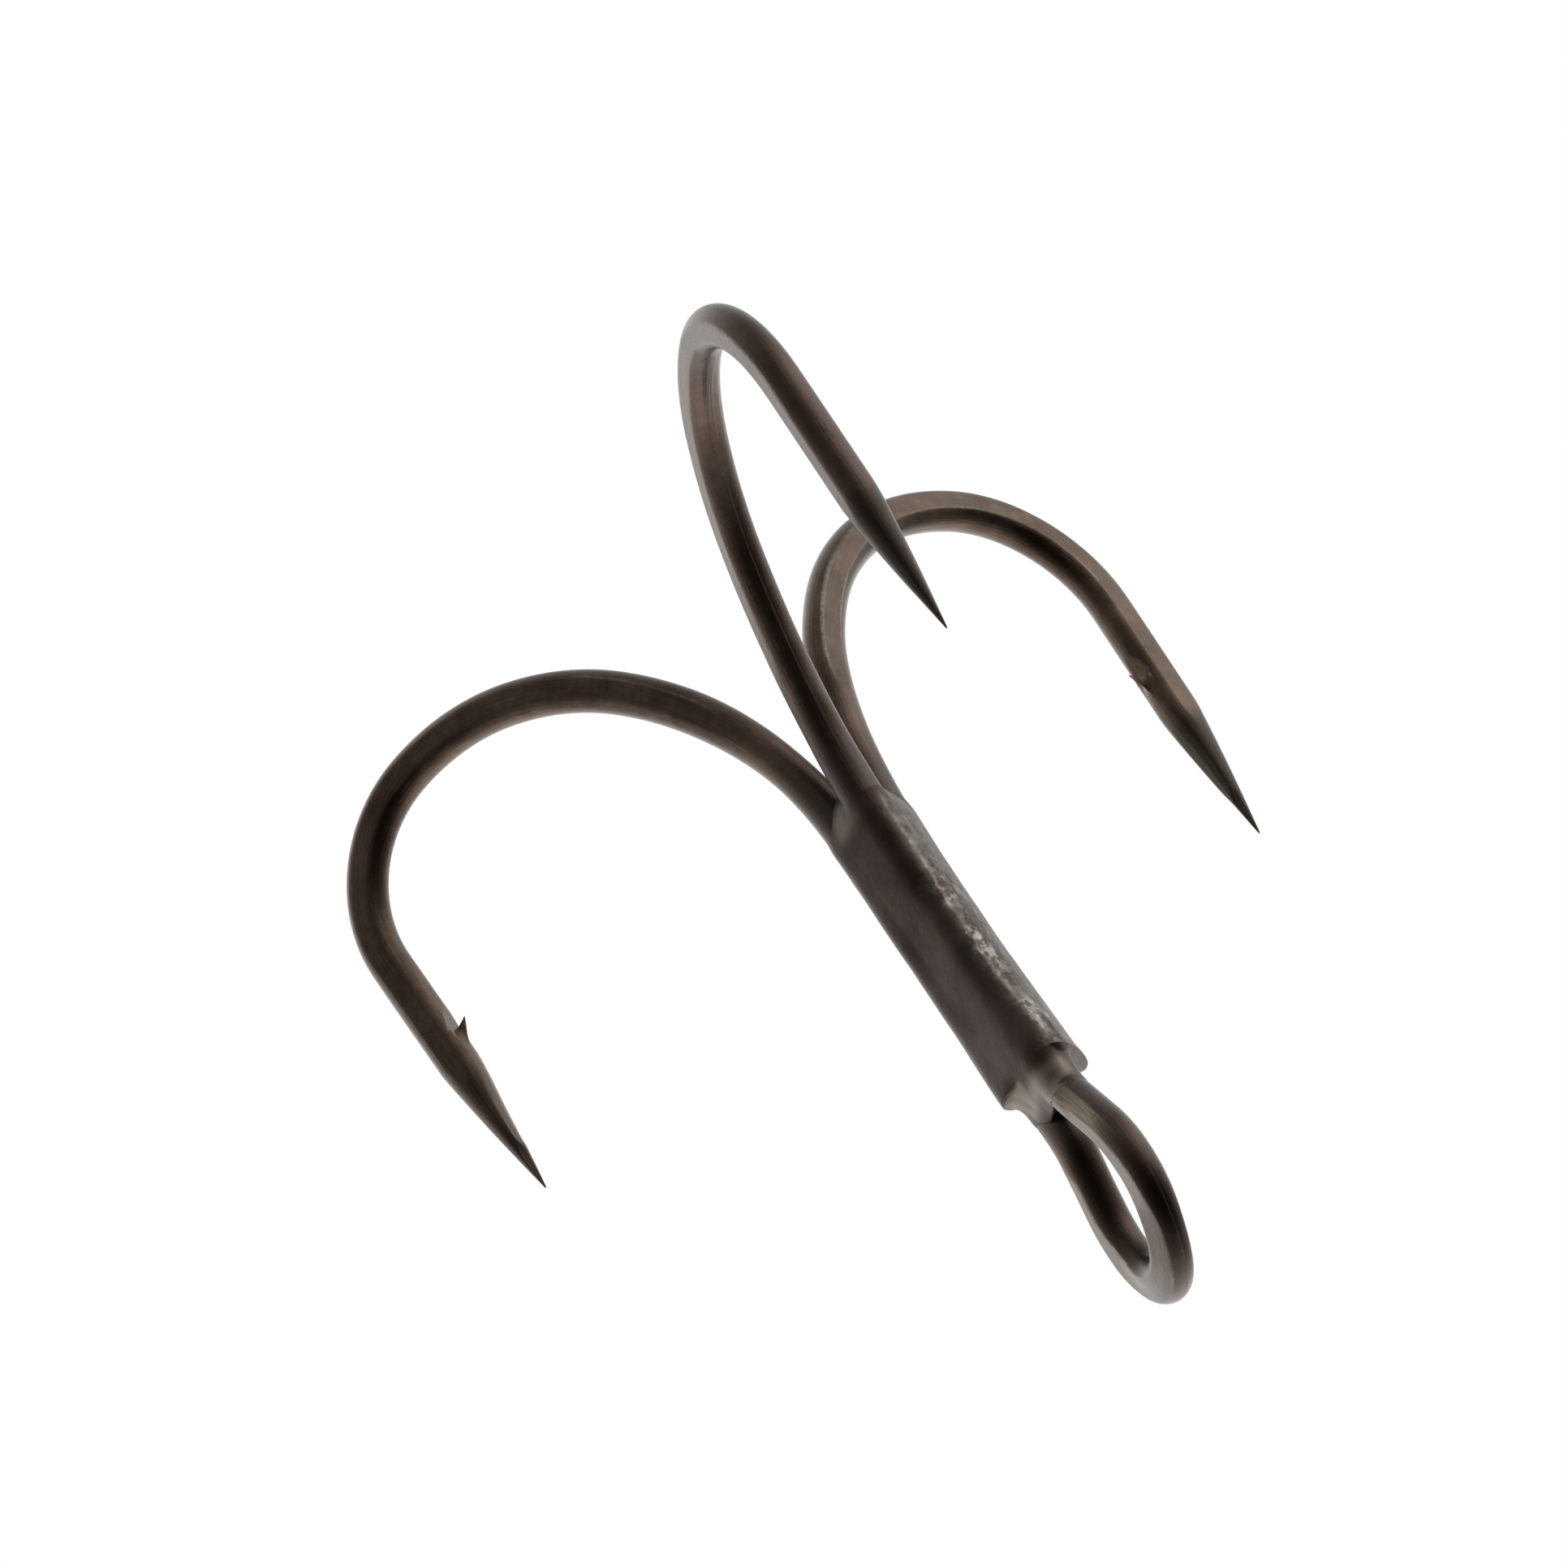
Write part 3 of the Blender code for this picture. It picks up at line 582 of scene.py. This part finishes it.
    # the alloy has beaded along the outer edge of the eyed wire, and pitted beside it
    ridge_at = math.radians(-7.0) + 0.07 * value_noise(np.stack([zs * 0, zs * 0, zs], 1), 1.1, 4)
    ridge_at = ridge_at + 0.03 * value_noise(np.stack([zs * 0, zs * 0, zs], 1), 0.3, 8)
    d = (phi[None, :] - ridge_at[:, None] + math.pi) % (2 * math.pi) - math.pi
    cusp = np.exp(-np.abs(d) / 0.085)
    ridge = np.exp(-((d / 0.11) ** 2))
    body = smooth((Z + 13.6) / 1.2) * smooth((CUT_Z + 0.06 - Z) / 0.30)
    beads = np.clip(0.5 + 0.9 * fbm(flat_p * [1, 1, 0.75], 0.24, 3, 31).reshape(R.shape), 0, 1)
    patch = np.clip(0.62 + 1.1 * value_noise(np.stack([zs * 0, zs * 0, zs], 1), 0.8, 71), 0.15, 1.25)[:, None]
    beads = beads * patch
    bead_h = body * (0.034 * cusp * (0.45 + 0.9 * beads) + 0.012 * ridge * beads)
    right = np.exp(-(((d + 0.62) / 0.50) ** 2)) * body
    pits_and_shadow = np.clip((fbm(flat_p * [1, 1, 0.7], 0.20, 2, 47).reshape(R.shape) - 0.20) * 2.4, 0, 1) * body
    pits_and_shadow = pits_and_shadow * np.exp(-(((d + 0.22) / 0.30) ** 2))
    R2 = R + lump * (0.25 + 0.75 * body) + bead_h - 0.030 * pits_and_shadow
    # the film stays closed over the shank of plain hook a, where it runs thinnest
    R2 = R2 + 0.042 * np.exp(-(((Z + 9.4) / 1.75) ** 4)) * between(108, 146, 30)
    # painted shadow: a dark band under the right step, added to the pit mask
    under = smooth((Z - CUT_Z - 0.015) / 0.07) * (1 - smooth((Z - CUT_Z - 0.14) / 0.22)) * between(-140, -8, 10)
    pits_and_shadow = np.maximum(pits_and_shadow, 0.40 * under)
    # painted highlight: pale patches in the crotch, over the front of the eye's foot above the cut and beside the left
    # corner, faded toward the web's lip
    crotch = smooth((Z + 14.3) / 0.3) * (1 - smooth((Z + 13.35) / 0.5)) * np.exp(-(((phi[None, :] - 1.12) / 0.50) ** 2))
    skin = smooth((Z - CUT_Z - 0.10) / 0.45) * between(-4, 52, 16)
    skin = skin * (1 - 0.75 * smooth((Z + 4.80) / 0.35) * between(36, 140, 12))
    foot = smooth((Z - CUT_Z + 0.06) / 0.16) * (1 - smooth((Z - CUT_Z - 0.55) / 0.35)) * between(60, 124, 18)
    pale = np.maximum(np.maximum(0.55 * crotch, 0.9 * skin), 0.75 * foot)
    step = (right_end * between(-110, -16, 14))[None, :]
    low = smooth((Z - CUT_Z + 0.8) / 0.7) * (1 - smooth((Z - CUT_Z - 0.06) / 0.30))
    R2 = R2 + 0.035 * step * smooth((Z - CUT_Z + 0.45) / 0.35) * (1 - smooth((Z - CUT_Z + 0.02) / 0.10))
    P[:, :, 0] = SHANK_X + R2 * np.cos(phi)[None, :]
    P[:, :, 1] = R2 * np.sin(phi)[None, :]
    P[:, :, 2] = Z + 0.07 * step * low
    bm = bmesh.new()
    loops = [[bm.verts.new(Vector(P[i, j] * MM)) for j in range(n)] for i in range(len(zs))]
    # the saddle between the eye's legs, and the hidden end between the parting wires
    cap_z = -4.46
    for f in (0.80, 0.60, 0.40, 0.20):
        ring = P[-1].copy()
        ring[:, 0] = SHANK_X + (ring[:, 0] - SHANK_X) * f
        ring[:, 1] *= f
        ring[:, 2] = cap_z + (ring[:, 2] - cap_z) * f**1.7
        loops.append([bm.verts.new(Vector(v * MM)) for v in ring])
    for i in range(len(loops) - 1):
        for j in range(n):
            k2 = (j + 1) % n
            bm.faces.new((loops[i][j], loops[i][k2], loops[i + 1][k2], loops[i + 1][j]))
    for ring, zc, flip in ((loops[0], zs[0] + 0.12, True), (loops[-1], cap_z, False)):
        mid = bm.verts.new(Vector((SHANK_X * MM, 0, zc * MM)))
        for j in range(n):
            k2 = (j + 1) % n
            bm.faces.new((ring[k2], ring[j], mid) if flip else (ring[j], ring[k2], mid))
    bmesh.ops.recalc_face_normals(bm, faces=bm.faces)
    mesh = bpy.data.meshes.new("braze_joint_fine")
    bm.to_mesh(mesh)
    bm.free()
    spare = np.zeros(4 * n + 2)
    for key, data in (
        ("ridge", ridge * body),
        ("right", right),
        ("bead", np.exp(-np.where(d > -0.02, (d + 0.02) / 0.045, -(d + 0.02) / (0.10 + 0.10 * patch))) * body * beads * 1.3),
        ("broad", smooth((d - 0.40) / 0.9) * (1 - smooth((d - 2.5) / 0.5)) * np.ones_like(R)),
        ("pits_and_shadow", pits_and_shadow),
        ("pale", pale),
    ):
        at_ = mesh.attributes.new(key, "FLOAT", "POINT")
        at_.data.foreach_set("value", np.concatenate([data.reshape(-1), spare]).astype(np.float32))
    ob = bpy.data.objects.new("braze_joint_fine", mesh)
    bpy.context.scene.collection.objects.link(ob)
    mesh.shade_smooth()
    return ob


# ---------------------------------------------------------------- finishes
def node(tree, kind, x=0, y=0, **values):
    nd = tree.nodes.new(kind)
    nd.location = (x, y)
    for key, v in values.items():
        if hasattr(nd, key):
            setattr(nd, key, v)
        else:
            nd.inputs[key].default_value = v
    return nd


def ramp(tree, stops, x=0, y=0, mode="LINEAR"):
    nd = tree.nodes.new("ShaderNodeValToRGB")
    nd.location = (x, y)
    nd.color_ramp.interpolation = mode
    cr = nd.color_ramp
    while len(cr.elements) > len(stops):
        cr.elements.remove(cr.elements[-1])
    while len(cr.elements) < len(stops):
        cr.elements.new(0.5)
    for el, (pos, col) in zip(cr.elements, stops):
        el.position = pos
        el.color = (*col, 1.0) if len(col) == 3 else col
    return nd


def mix(tree, a, b, factor, blend="MIX"):
    nd = tree.nodes.new("ShaderNodeMix")
    nd.data_type = "RGBA"
    nd.blend_type = blend
    for sock, val in ((nd.inputs[6], a), (nd.inputs[7], b)):
        if isinstance(val, bpy.types.NodeSocket):
            tree.links.new(val, sock)
        else:
            sock.default_value = (*val, 1.0)
    if isinstance(factor, bpy.types.NodeSocket):
        tree.links.new(factor, nd.inputs[0])
    else:
        nd.inputs[0].default_value = factor
    return nd.outputs[2]


def maths(tree, op, a, b=None, c=None, clamp=False):
    nd = tree.nodes.new("ShaderNodeMath")
    nd.operation = op
    nd.use_clamp = clamp
    for i, v in enumerate((a, b, c)):
        if v is None:
            continue
        if isinstance(v, bpy.types.NodeSocket):
            tree.links.new(v, nd.inputs[i])
        else:
            nd.inputs[i].default_value = v
    return nd.outputs[0]


def noise(tree, vector, scale, detail=4.0, rough=0.55, distortion=0.0):
    nd = tree.nodes.new("ShaderNodeTexNoise")
    nd.inputs["Scale"].default_value = scale
    nd.inputs["Detail"].default_value = detail
    nd.inputs["Roughness"].default_value = rough
    nd.inputs["Distortion"].default_value = distortion
    tree.links.new(vector, nd.inputs["Vector"])
    return nd.outputs["Fac"]


def attribute(tree, name):
    nd = tree.nodes.new("ShaderNodeAttribute")
    nd.attribute_name = name
    return nd.outputs["Fac"]


def plating(name, tint=(1.0, 1.0, 1.0), crack=False):
    """Black nickel over drawn wire: near black, brownish, pale where it turns away."""
    mat = bpy.data.materials.new(name)
    mat.use_nodes = True
    t = mat.node_tree
    bsdf = next(n for n in t.nodes if n.type == "BSDF_PRINCIPLED")
    bsdf.inputs["Metallic"].default_value = 1.0
    geo = t.nodes.new("ShaderNodeNewGeometry")
    pos = geo.outputs["Position"]
    along, tip, around = attribute(t, "along_mm"), attribute(t, "tip_mm"), attribute(t, "around")
    # coordinates that run along the wire, for drawing marks
    drawn = t.nodes.new("ShaderNodeCombineXYZ")
    t.links.new(maths(t, "MULTIPLY", along, 0.10), drawn.inputs[0])
    t.links.new(maths(t, "MULTIPLY", maths(t, "COSINE", around), 1.6), drawn.inputs[1])
    t.links.new(maths(t, "MULTIPLY", maths(t, "SINE", around), 1.6), drawn.inputs[2])
    streak = noise(t, drawn.outputs[0], 7.0, 6.0, 0.7)
    blotch = noise(t, pos, 900.0, 4.0, 0.55)
    grain = noise(t, pos, 9000.0, 3.0, 0.6)
    wide = noise(t, pos, 260.0, 2.0, 0.5)
    dark = tuple(c * k for c, k in zip((0.034, 0.0225, 0.0175), tint))
    light = tuple(c * k for c, k in zip((0.092, 0.068, 0.054), tint))
    f = maths(t, "MULTIPLY_ADD", blotch, 1.5, maths(t, "MULTIPLY_ADD", streak, 1.1, -0.98), clamp=True)
    col = mix(t, dark, light, f)
    fine = ramp(t, [(0.36, (0, 0, 0)), (0.64, (1, 1, 1))])
    t.links.new(noise(t, pos, 3400.0, 3.0, 0.6), fine.inputs[0])
    col = mix(t, col, (0.020, 0.0135, 0.0110), maths(t, "MULTIPLY", fine.outputs[0], 0.34))
    brown = ramp(t, [(0.38, (0, 0, 0)), (0.66, (1, 1, 1))])
    t.links.new(wide, brown.inputs[0])
    col = mix(t, col, (0.098, 0.068, 0.050), maths(t, "MULTIPLY", brown.outputs[0], 0.34))
    # darker near the braze and along the point leg, and painted shade round the outside of the crown and inside the far
    # leg
    darkening_and_shade_fac = maths(t, "MULTIPLY", attribute(t, "darkening_and_shade"), maths(t, "MULTIPLY_ADD", blotch, 0.7, 0.55, clamp=True))
    col = mix(t, col, (0.0175, 0.0120, 0.0105), darkening_and_shade_fac)
    # a film of alloy runs out a little way past the braze
    film = maths(t, "MULTIPLY", attribute(t, "film"), maths(t, "MULTIPLY_ADD", wide, 0.5, 0.6, clamp=True))
    col = mix(t, col, (0.070, 0.059, 0.052), film)
    # ground point: the same plating over grinding marks, a touch darker
    ground = ramp(t, [(0.0, (1, 1, 1)), (0.86, (1, 1, 1)), (0.98, (0, 0, 0))])
    t.links.new(maths(t, "MULTIPLY", tip, 0.25), ground.inputs[0])
    worked = (0.80, (0.022, 0.0180, 0.0150)) if "hook_b" in name else (0.35, (0.034, 0.028, 0.025))
    col = mix(t, col, worked[1], maths(t, "MULTIPLY", ground.outputs[0], worked[0]))
    # edges rubbed through to the bright nickel, partly real wear and partly painted highlight along the sharper edges
    scuff = ramp(t, [(0.35, (0, 0, 0)), (0.62, (1, 1, 1))])
    t.links.new(grain, scuff.inputs[0])
    patchy = ramp(t, [(0.42, (0.12, 0.12, 0.12)), (0.68, (1, 1, 1))])
    t.links.new(noise(t, pos, 420.0, 2.0, 0.5), patchy.inputs[0])
    worn_and_glint = maths(t, "MULTIPLY", attribute(t, "edge"), maths(t, "MULTIPLY_ADD", scuff.outputs[0], 0.45, 0.20))
    worn_and_glint = maths(t, "MULTIPLY", worn_and_glint, patchy.outputs[0])
    col = mix(t, col, (0.30, 0.275, 0.245), worn_and_glint)
    face = maths(t, "MULTIPLY", attribute(t, "pale"), maths(t, "MULTIPLY_ADD", streak, 3.4, -1.15, clamp=True))
    col = mix(t, col, (0.150, 0.128, 0.088), face)
    t.links.new(maths(t, "MULTIPLY_ADD", face, -0.35, maths(t, "MULTIPLY_ADD", worn_and_glint, -0.30, 1.0), clamp=True), bsdf.inputs["Metallic"])
    col = mix(t, col, (0.004, 0.003, 0.003), maths(t, "MULTIPLY", attribute(t, "crack"), 0.96))
    t.links.new(col, bsdf.inputs["Base Color"])
    rough = maths(t, "MULTIPLY_ADD", blotch, 0.16, 0.15)
    rough = maths(t, "MULTIPLY_ADD", streak, 0.12, rough)
    rough = maths(t, "MULTIPLY_ADD", ground.outputs[0], 0.05, rough)
    rough = maths(t, "MULTIPLY_ADD", worn_and_glint, 0.10, rough)
    rough = maths(t, "MULTIPLY_ADD", film, 0.14, rough)
    t.links.new(rough, bsdf.inputs["Roughness"])
    # relief: drawing marks, fine pits, and cross marks of the grinding on the point
    cross = t.nodes.new("ShaderNodeCombineXYZ")
    t.links.new(maths(t, "MULTIPLY", tip, 2.6), cross.inputs[0])
    t.links.new(maths(t, "MULTIPLY", maths(t, "COSINE", around), 0.35), cross.inputs[1])
    t.links.new(maths(t, "MULTIPLY", maths(t, "SINE", around), 0.35), cross.inputs[2])
    grinding = maths(t, "MULTIPLY", noise(t, cross.outputs[0], 9.0, 3.0, 0.6), ground.outputs[0])
    relief = maths(t, "MULTIPLY_ADD", streak, 0.75, maths(t, "MULTIPLY", grain, 0.30))
    relief = maths(t, "MULTIPLY_ADD", grinding, 0.22, relief)
    relief = maths(t, "MULTIPLY_ADD", blotch, 0.5, relief)
    bump = t.nodes.new("ShaderNodeBump")
    bump.inputs["Strength"].default_value = 0.8
    bump.inputs["Distance"].default_value = 0.000016
    t.links.new(relief, bump.inputs["Height"])
    t.links.new(bump.outputs[0], bsdf.inputs["Normal"])
    return mat


def brazing(name):
    """The same plating over cast, beaded alloy: satin, mottled, with painted glints along the ridge and painted shade
    on the broad side.
    """
    mat = bpy.data.materials.new(name)
    mat.use_nodes = True
    t = mat.node_tree
    bsdf = next(n for n in t.nodes if n.type == "BSDF_PRINCIPLED")
    bsdf.inputs["Metallic"].default_value = 1.0
    geo = t.nodes.new("ShaderNodeNewGeometry")
    pos = geo.outputs["Position"]
    sep = t.nodes.new("ShaderNodeSeparateXYZ")
    t.links.new(pos, sep.inputs[0])
    mottle = noise(t, pos, 750.0, 5.0, 0.6)
    cloud = noise(t, pos, 230.0, 3.0, 0.5)
    grain = noise(t, pos, 7000.0, 4.0, 0.65)
    speck = t.nodes.new("ShaderNodeTexVoronoi")
    speck.inputs["Scale"].default_value = 5200.0
    t.links.new(pos, speck.inputs["Vector"])
    ridge, right, bead = attribute(t, "ridge"), attribute(t, "right"), attribute(t, "bead")
    spread_ = ramp(t, [(0.30, (0, 0, 0)), (0.70, (1, 1, 1))])
    t.links.new(mottle, spread_.inputs[0])
    col = mix(t, (0.0215, 0.0140, 0.0118), (0.056, 0.0395, 0.0340), spread_.outputs[0])
    grey = ramp(t, [(0.42, (0, 0, 0)), (0.70, (1, 1, 1))])
    t.links.new(cloud, grey.inputs[0])
    col = mix(t, col, (0.066, 0.055, 0.0515), maths(t, "MULTIPLY", grey.outputs[0], 0.5))
    # painted shade: the broad side is darkened in noisy patches, and the narrow side is left greyer
    shade_patches = ramp(t, [(0.36, (0.25, 0.25, 0.25)), (0.62, (1, 1, 1))])
    t.links.new(noise(t, pos, 420.0, 4.0, 0.6), shade_patches.inputs[0])
    broad = maths(t, "MULTIPLY_ADD", attribute(t, "broad"), 0.58, 0.24)
    col = mix(t, col, (0.0150, 0.0104, 0.0088), maths(t, "MULTIPLY", shade_patches.outputs[0], broad))
    # painted highlight: paler, less metallic patches at the foot of the eye and in the crotch
    sheen_patch = maths(t, "MULTIPLY", attribute(t, "pale"), maths(t, "MULTIPLY_ADD", mottle, 1.1, 0.05, clamp=True))
    col = mix(t, col, (0.185, 0.155, 0.125), sheen_patch)
    # painted glints: pale, less metallic specks along the beaded ridge and down the narrow side, where the bumps catch
    # the light
    dots = ramp(t, [(0.0, (1, 1, 1)), (0.22, (0.6, 0.6, 0.6)), (0.42, (0, 0, 0))])
    t.links.new(speck.outputs["Distance"], dots.inputs[0])
    speck_mask = ramp(t, [(0.46, (0, 0, 0)), (0.60, (1, 1, 1))])
    t.links.new(noise(t, pos, 2600.0, 4.0, 0.7), speck_mask.inputs[0])
    amount = maths(t, "MULTIPLY_ADD", right, 0.20, maths(t, "MULTIPLY", bead, 1.35), clamp=True)
    pale = maths(t, "MULTIPLY", maths(t, "MULTIPLY_ADD", speck_mask.outputs[0], 0.85, maths(t, "MULTIPLY", dots.outputs[0], 0.35), clamp=True), amount)
    col = mix(t, col, (0.50, 0.48, 0.41), pale)
    t.links.new(maths(t, "MULTIPLY_ADD", pale, -0.80, maths(t, "MULTIPLY_ADD", sheen_patch, -0.25, 1.0), clamp=True), bsdf.inputs["Metallic"])
    # painted highlight: paler along the ridge
    col = mix(t, col, (0.17, 0.155, 0.135), maths(t, "MULTIPLY", ridge, 0.30))
    # darker in the pits, and painted shadow under the right step
    col = mix(t, col, (0.018, 0.013, 0.011), maths(t, "MULTIPLY", attribute(t, "pits_and_shadow"), 0.8))
    t.links.new(col, bsdf.inputs["Base Color"])
    rough = maths(t, "MULTIPLY_ADD", mottle, 0.26, 0.30)
    rough = maths(t, "MULTIPLY_ADD", pale, 0.12, rough)
    t.links.new(rough, bsdf.inputs["Roughness"])
    relief = maths(t, "MULTIPLY_ADD", grain, 0.45, maths(t, "MULTIPLY", mottle, 0.9))
    relief = maths(t, "MULTIPLY_ADD", speck_mask.outputs[0], maths(t, "MULTIPLY_ADD", amount, 0.7, 0.05), relief)
    bump = t.nodes.new("ShaderNodeBump")
    bump.inputs["Strength"].default_value = 0.8
    bump.inputs["Distance"].default_value = 0.000022
    t.links.new(relief, bump.inputs["Height"])
    t.links.new(bump.outputs[0], bsdf.inputs["Normal"])
    return mat


# ---------------------------------------------------------------- build
lines = {}
tints = {
    "eyed_hook": (1.0, 1.0, 1.03),
    "plain_hook_a": (1.03, 1.0, 0.97),
    "plain_hook_b": (1.04, 1.02, 0.94),
}
for name in HOOKS:
    ob, line = build_wire(name)
    lines[name] = line
    ob.data.materials.append(plating(name + "_black_nickel", tints[name], crack=name == "eyed_hook"))
    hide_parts(name)
    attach(ob, next(iter(frame["bodies"])))
braze = build_braze(lines)
braze.data.materials.append(brazing("braze_black_nickel"))
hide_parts("braze_joint")
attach(braze, next(iter(frame["bodies"])))

# ---------------------------------------------------------------- floor, light, camera
FLOOR_Z = cad_box[0][2] - 0.0002
bm = bmesh.new()
bmesh.ops.create_grid(bm, x_segments=24, y_segments=24, size=1.6)
mesh = bpy.data.meshes.new("floor")
bm.to_mesh(mesh)
bm.free()
floor = bpy.data.objects.new("floor", mesh)
floor.location = (0, 0, FLOOR_Z)
bpy.context.scene.collection.objects.link(floor)
paper = bpy.data.materials.new("floor_paper")
paper.use_nodes = True
t = paper.node_tree
t.nodes.clear()
# lit evenly white to the eye; the wires see past it to the soft room round them
glow = t.nodes.new("ShaderNodeEmission")
glow.inputs["Color"].default_value = (1, 1, 1, 1)
glow.inputs["Strength"].default_value = 1.0
clear = t.nodes.new("ShaderNodeBsdfTransparent")
path = t.nodes.new("ShaderNodeLightPath")
pick = t.nodes.new("ShaderNodeMixShader")
t.links.new(path.outputs["Is Camera Ray"], pick.inputs[0])
t.links.new(clear.outputs[0], pick.inputs[1])
t.links.new(glow.outputs[0], pick.inputs[2])
surface = t.nodes.new("ShaderNodeOutputMaterial")
t.links.new(pick.outputs[0], surface.inputs[0])
floor.data.materials.append(paper)

CAM = Vector((0.169406, 0.060209, 0.072292))
RIGHT = Vector((0.041784, -0.864427, 0.501019)).normalized()
UP = Vector((0.527134, -0.406913, -0.746024)).normalized()
BACK = Vector((0.848754, 0.295276, 0.438666)).normalized()

world = bpy.data.worlds.new("soft_studio")
bpy.context.scene.world = world
world.use_nodes = True
t = world.node_tree
bg = next(n for n in t.nodes if n.type == "BACKGROUND")
coord = t.nodes.new("ShaderNodeTexCoord")


def aim(theta, clock):
    """World direction theta degrees away from the camera's side, at a clock angle round the frame."""
    th, ck = math.radians(theta), math.radians(clock)
    return math.sin(th) * (math.cos(ck) * RIGHT + math.sin(ck) * UP) + math.cos(th) * BACK


def toward(direction):
    dot = t.nodes.new("ShaderNodeVectorMath")
    dot.operation = "DOT_PRODUCT"
    dot.inputs[1].default_value = direction
    t.links.new(coord.outputs["Generated"], dot.inputs[0])
    return dot.outputs["Value"]


def lobe(direction, full, none):
    """1 within full degrees of a direction, easing to 0 at none degrees."""
    ease = t.nodes.new("ShaderNodeMapRange")
    ease.interpolation_type = "SMOOTHSTEP"
    ease.inputs["From Min"].default_value = math.cos(math.radians(none))
    ease.inputs["From Max"].default_value = math.cos(math.radians(full))
    t.links.new(toward(direction), ease.inputs["Value"])
    return ease.outputs["Result"]


# a white tent round the object, dim on the camera's side
levels = ((180, 0.60), (130, 0.86), (105, 0.95), (90, 0.76), (75, 0.43), (60, 0.21), (45, 0.095), (30, 0.045), (0, 0.030))
tent = ramp(t, [(0.5 + 0.5 * math.cos(math.radians(a)), (v, v, v)) for a, v in levels])
t.links.new(maths(t, "MULTIPLY_ADD", toward(BACK), 0.5, 0.5), tent.inputs[0])
glow_ = maths(t, "MULTIPLY", tent.outputs[0], 2.35)
glow_ = maths(t, "MULTIPLY_ADD", lobe(aim(82, 58), 16, 50), 1.25, glow_)
glow_ = maths(t, "MULTIPLY_ADD", lobe(aim(98, -72), 20, 52), 0.72, glow_)
glow_ = maths(t, "MULTIPLY_ADD", lobe(aim(42, 105), 8, 36), 0.15, glow_)
for theta, clock, full, none, cut in (
    (58, 8, 20, 50, 0.66),
    (102, 2, 20, 46, 0.42),
    (135, 90, 16, 44, 0.45),
    (96, 100, 16, 42, 0.50),
    (98, 158, 18, 46, 0.42),
):
    glow_ = maths(t, "MULTIPLY", glow_, maths(t, "MULTIPLY_ADD", lobe(aim(theta, clock), full, none), -cut, 1.0))
t.links.new(glow_, bg.inputs["Strength"])
bg.inputs["Color"].default_value = (1.0, 0.985, 0.965, 1)

lamp = bpy.data.lights.new("softbox", "AREA")
lamp.energy, lamp.size = 0.16, 0.24
softbox = bpy.data.objects.new("softbox", lamp)
middle = Vector((0.002, 0, -0.011))
softbox.location = middle + 0.5 * aim(86, 60)
softbox.rotation_mode = "QUATERNION"
softbox.rotation_quaternion = (softbox.location - middle).to_track_quat("Z", "Y")
bpy.context.scene.collection.objects.link(softbox)

cam_data = bpy.data.cameras.new("camera")
cam_data.sensor_width = 36.0
cam_data.lens = 190.0046
cam_data.clip_start, cam_data.clip_end = 0.005, 10.0
cam = bpy.data.objects.new("camera", cam_data)
bpy.context.scene.collection.objects.link(cam)
m = Matrix((RIGHT, UP, BACK)).transposed().to_4x4()
m.translation = CAM
cam.matrix_world = m
bpy.context.scene.camera = cam
bpy.context.scene.view_settings.view_transform = "Standard"
bpy.context.scene.view_settings.look = "None"
bpy.context.scene.view_settings.exposure = 0.0
bpy.context.scene.view_settings.gamma = 1.0
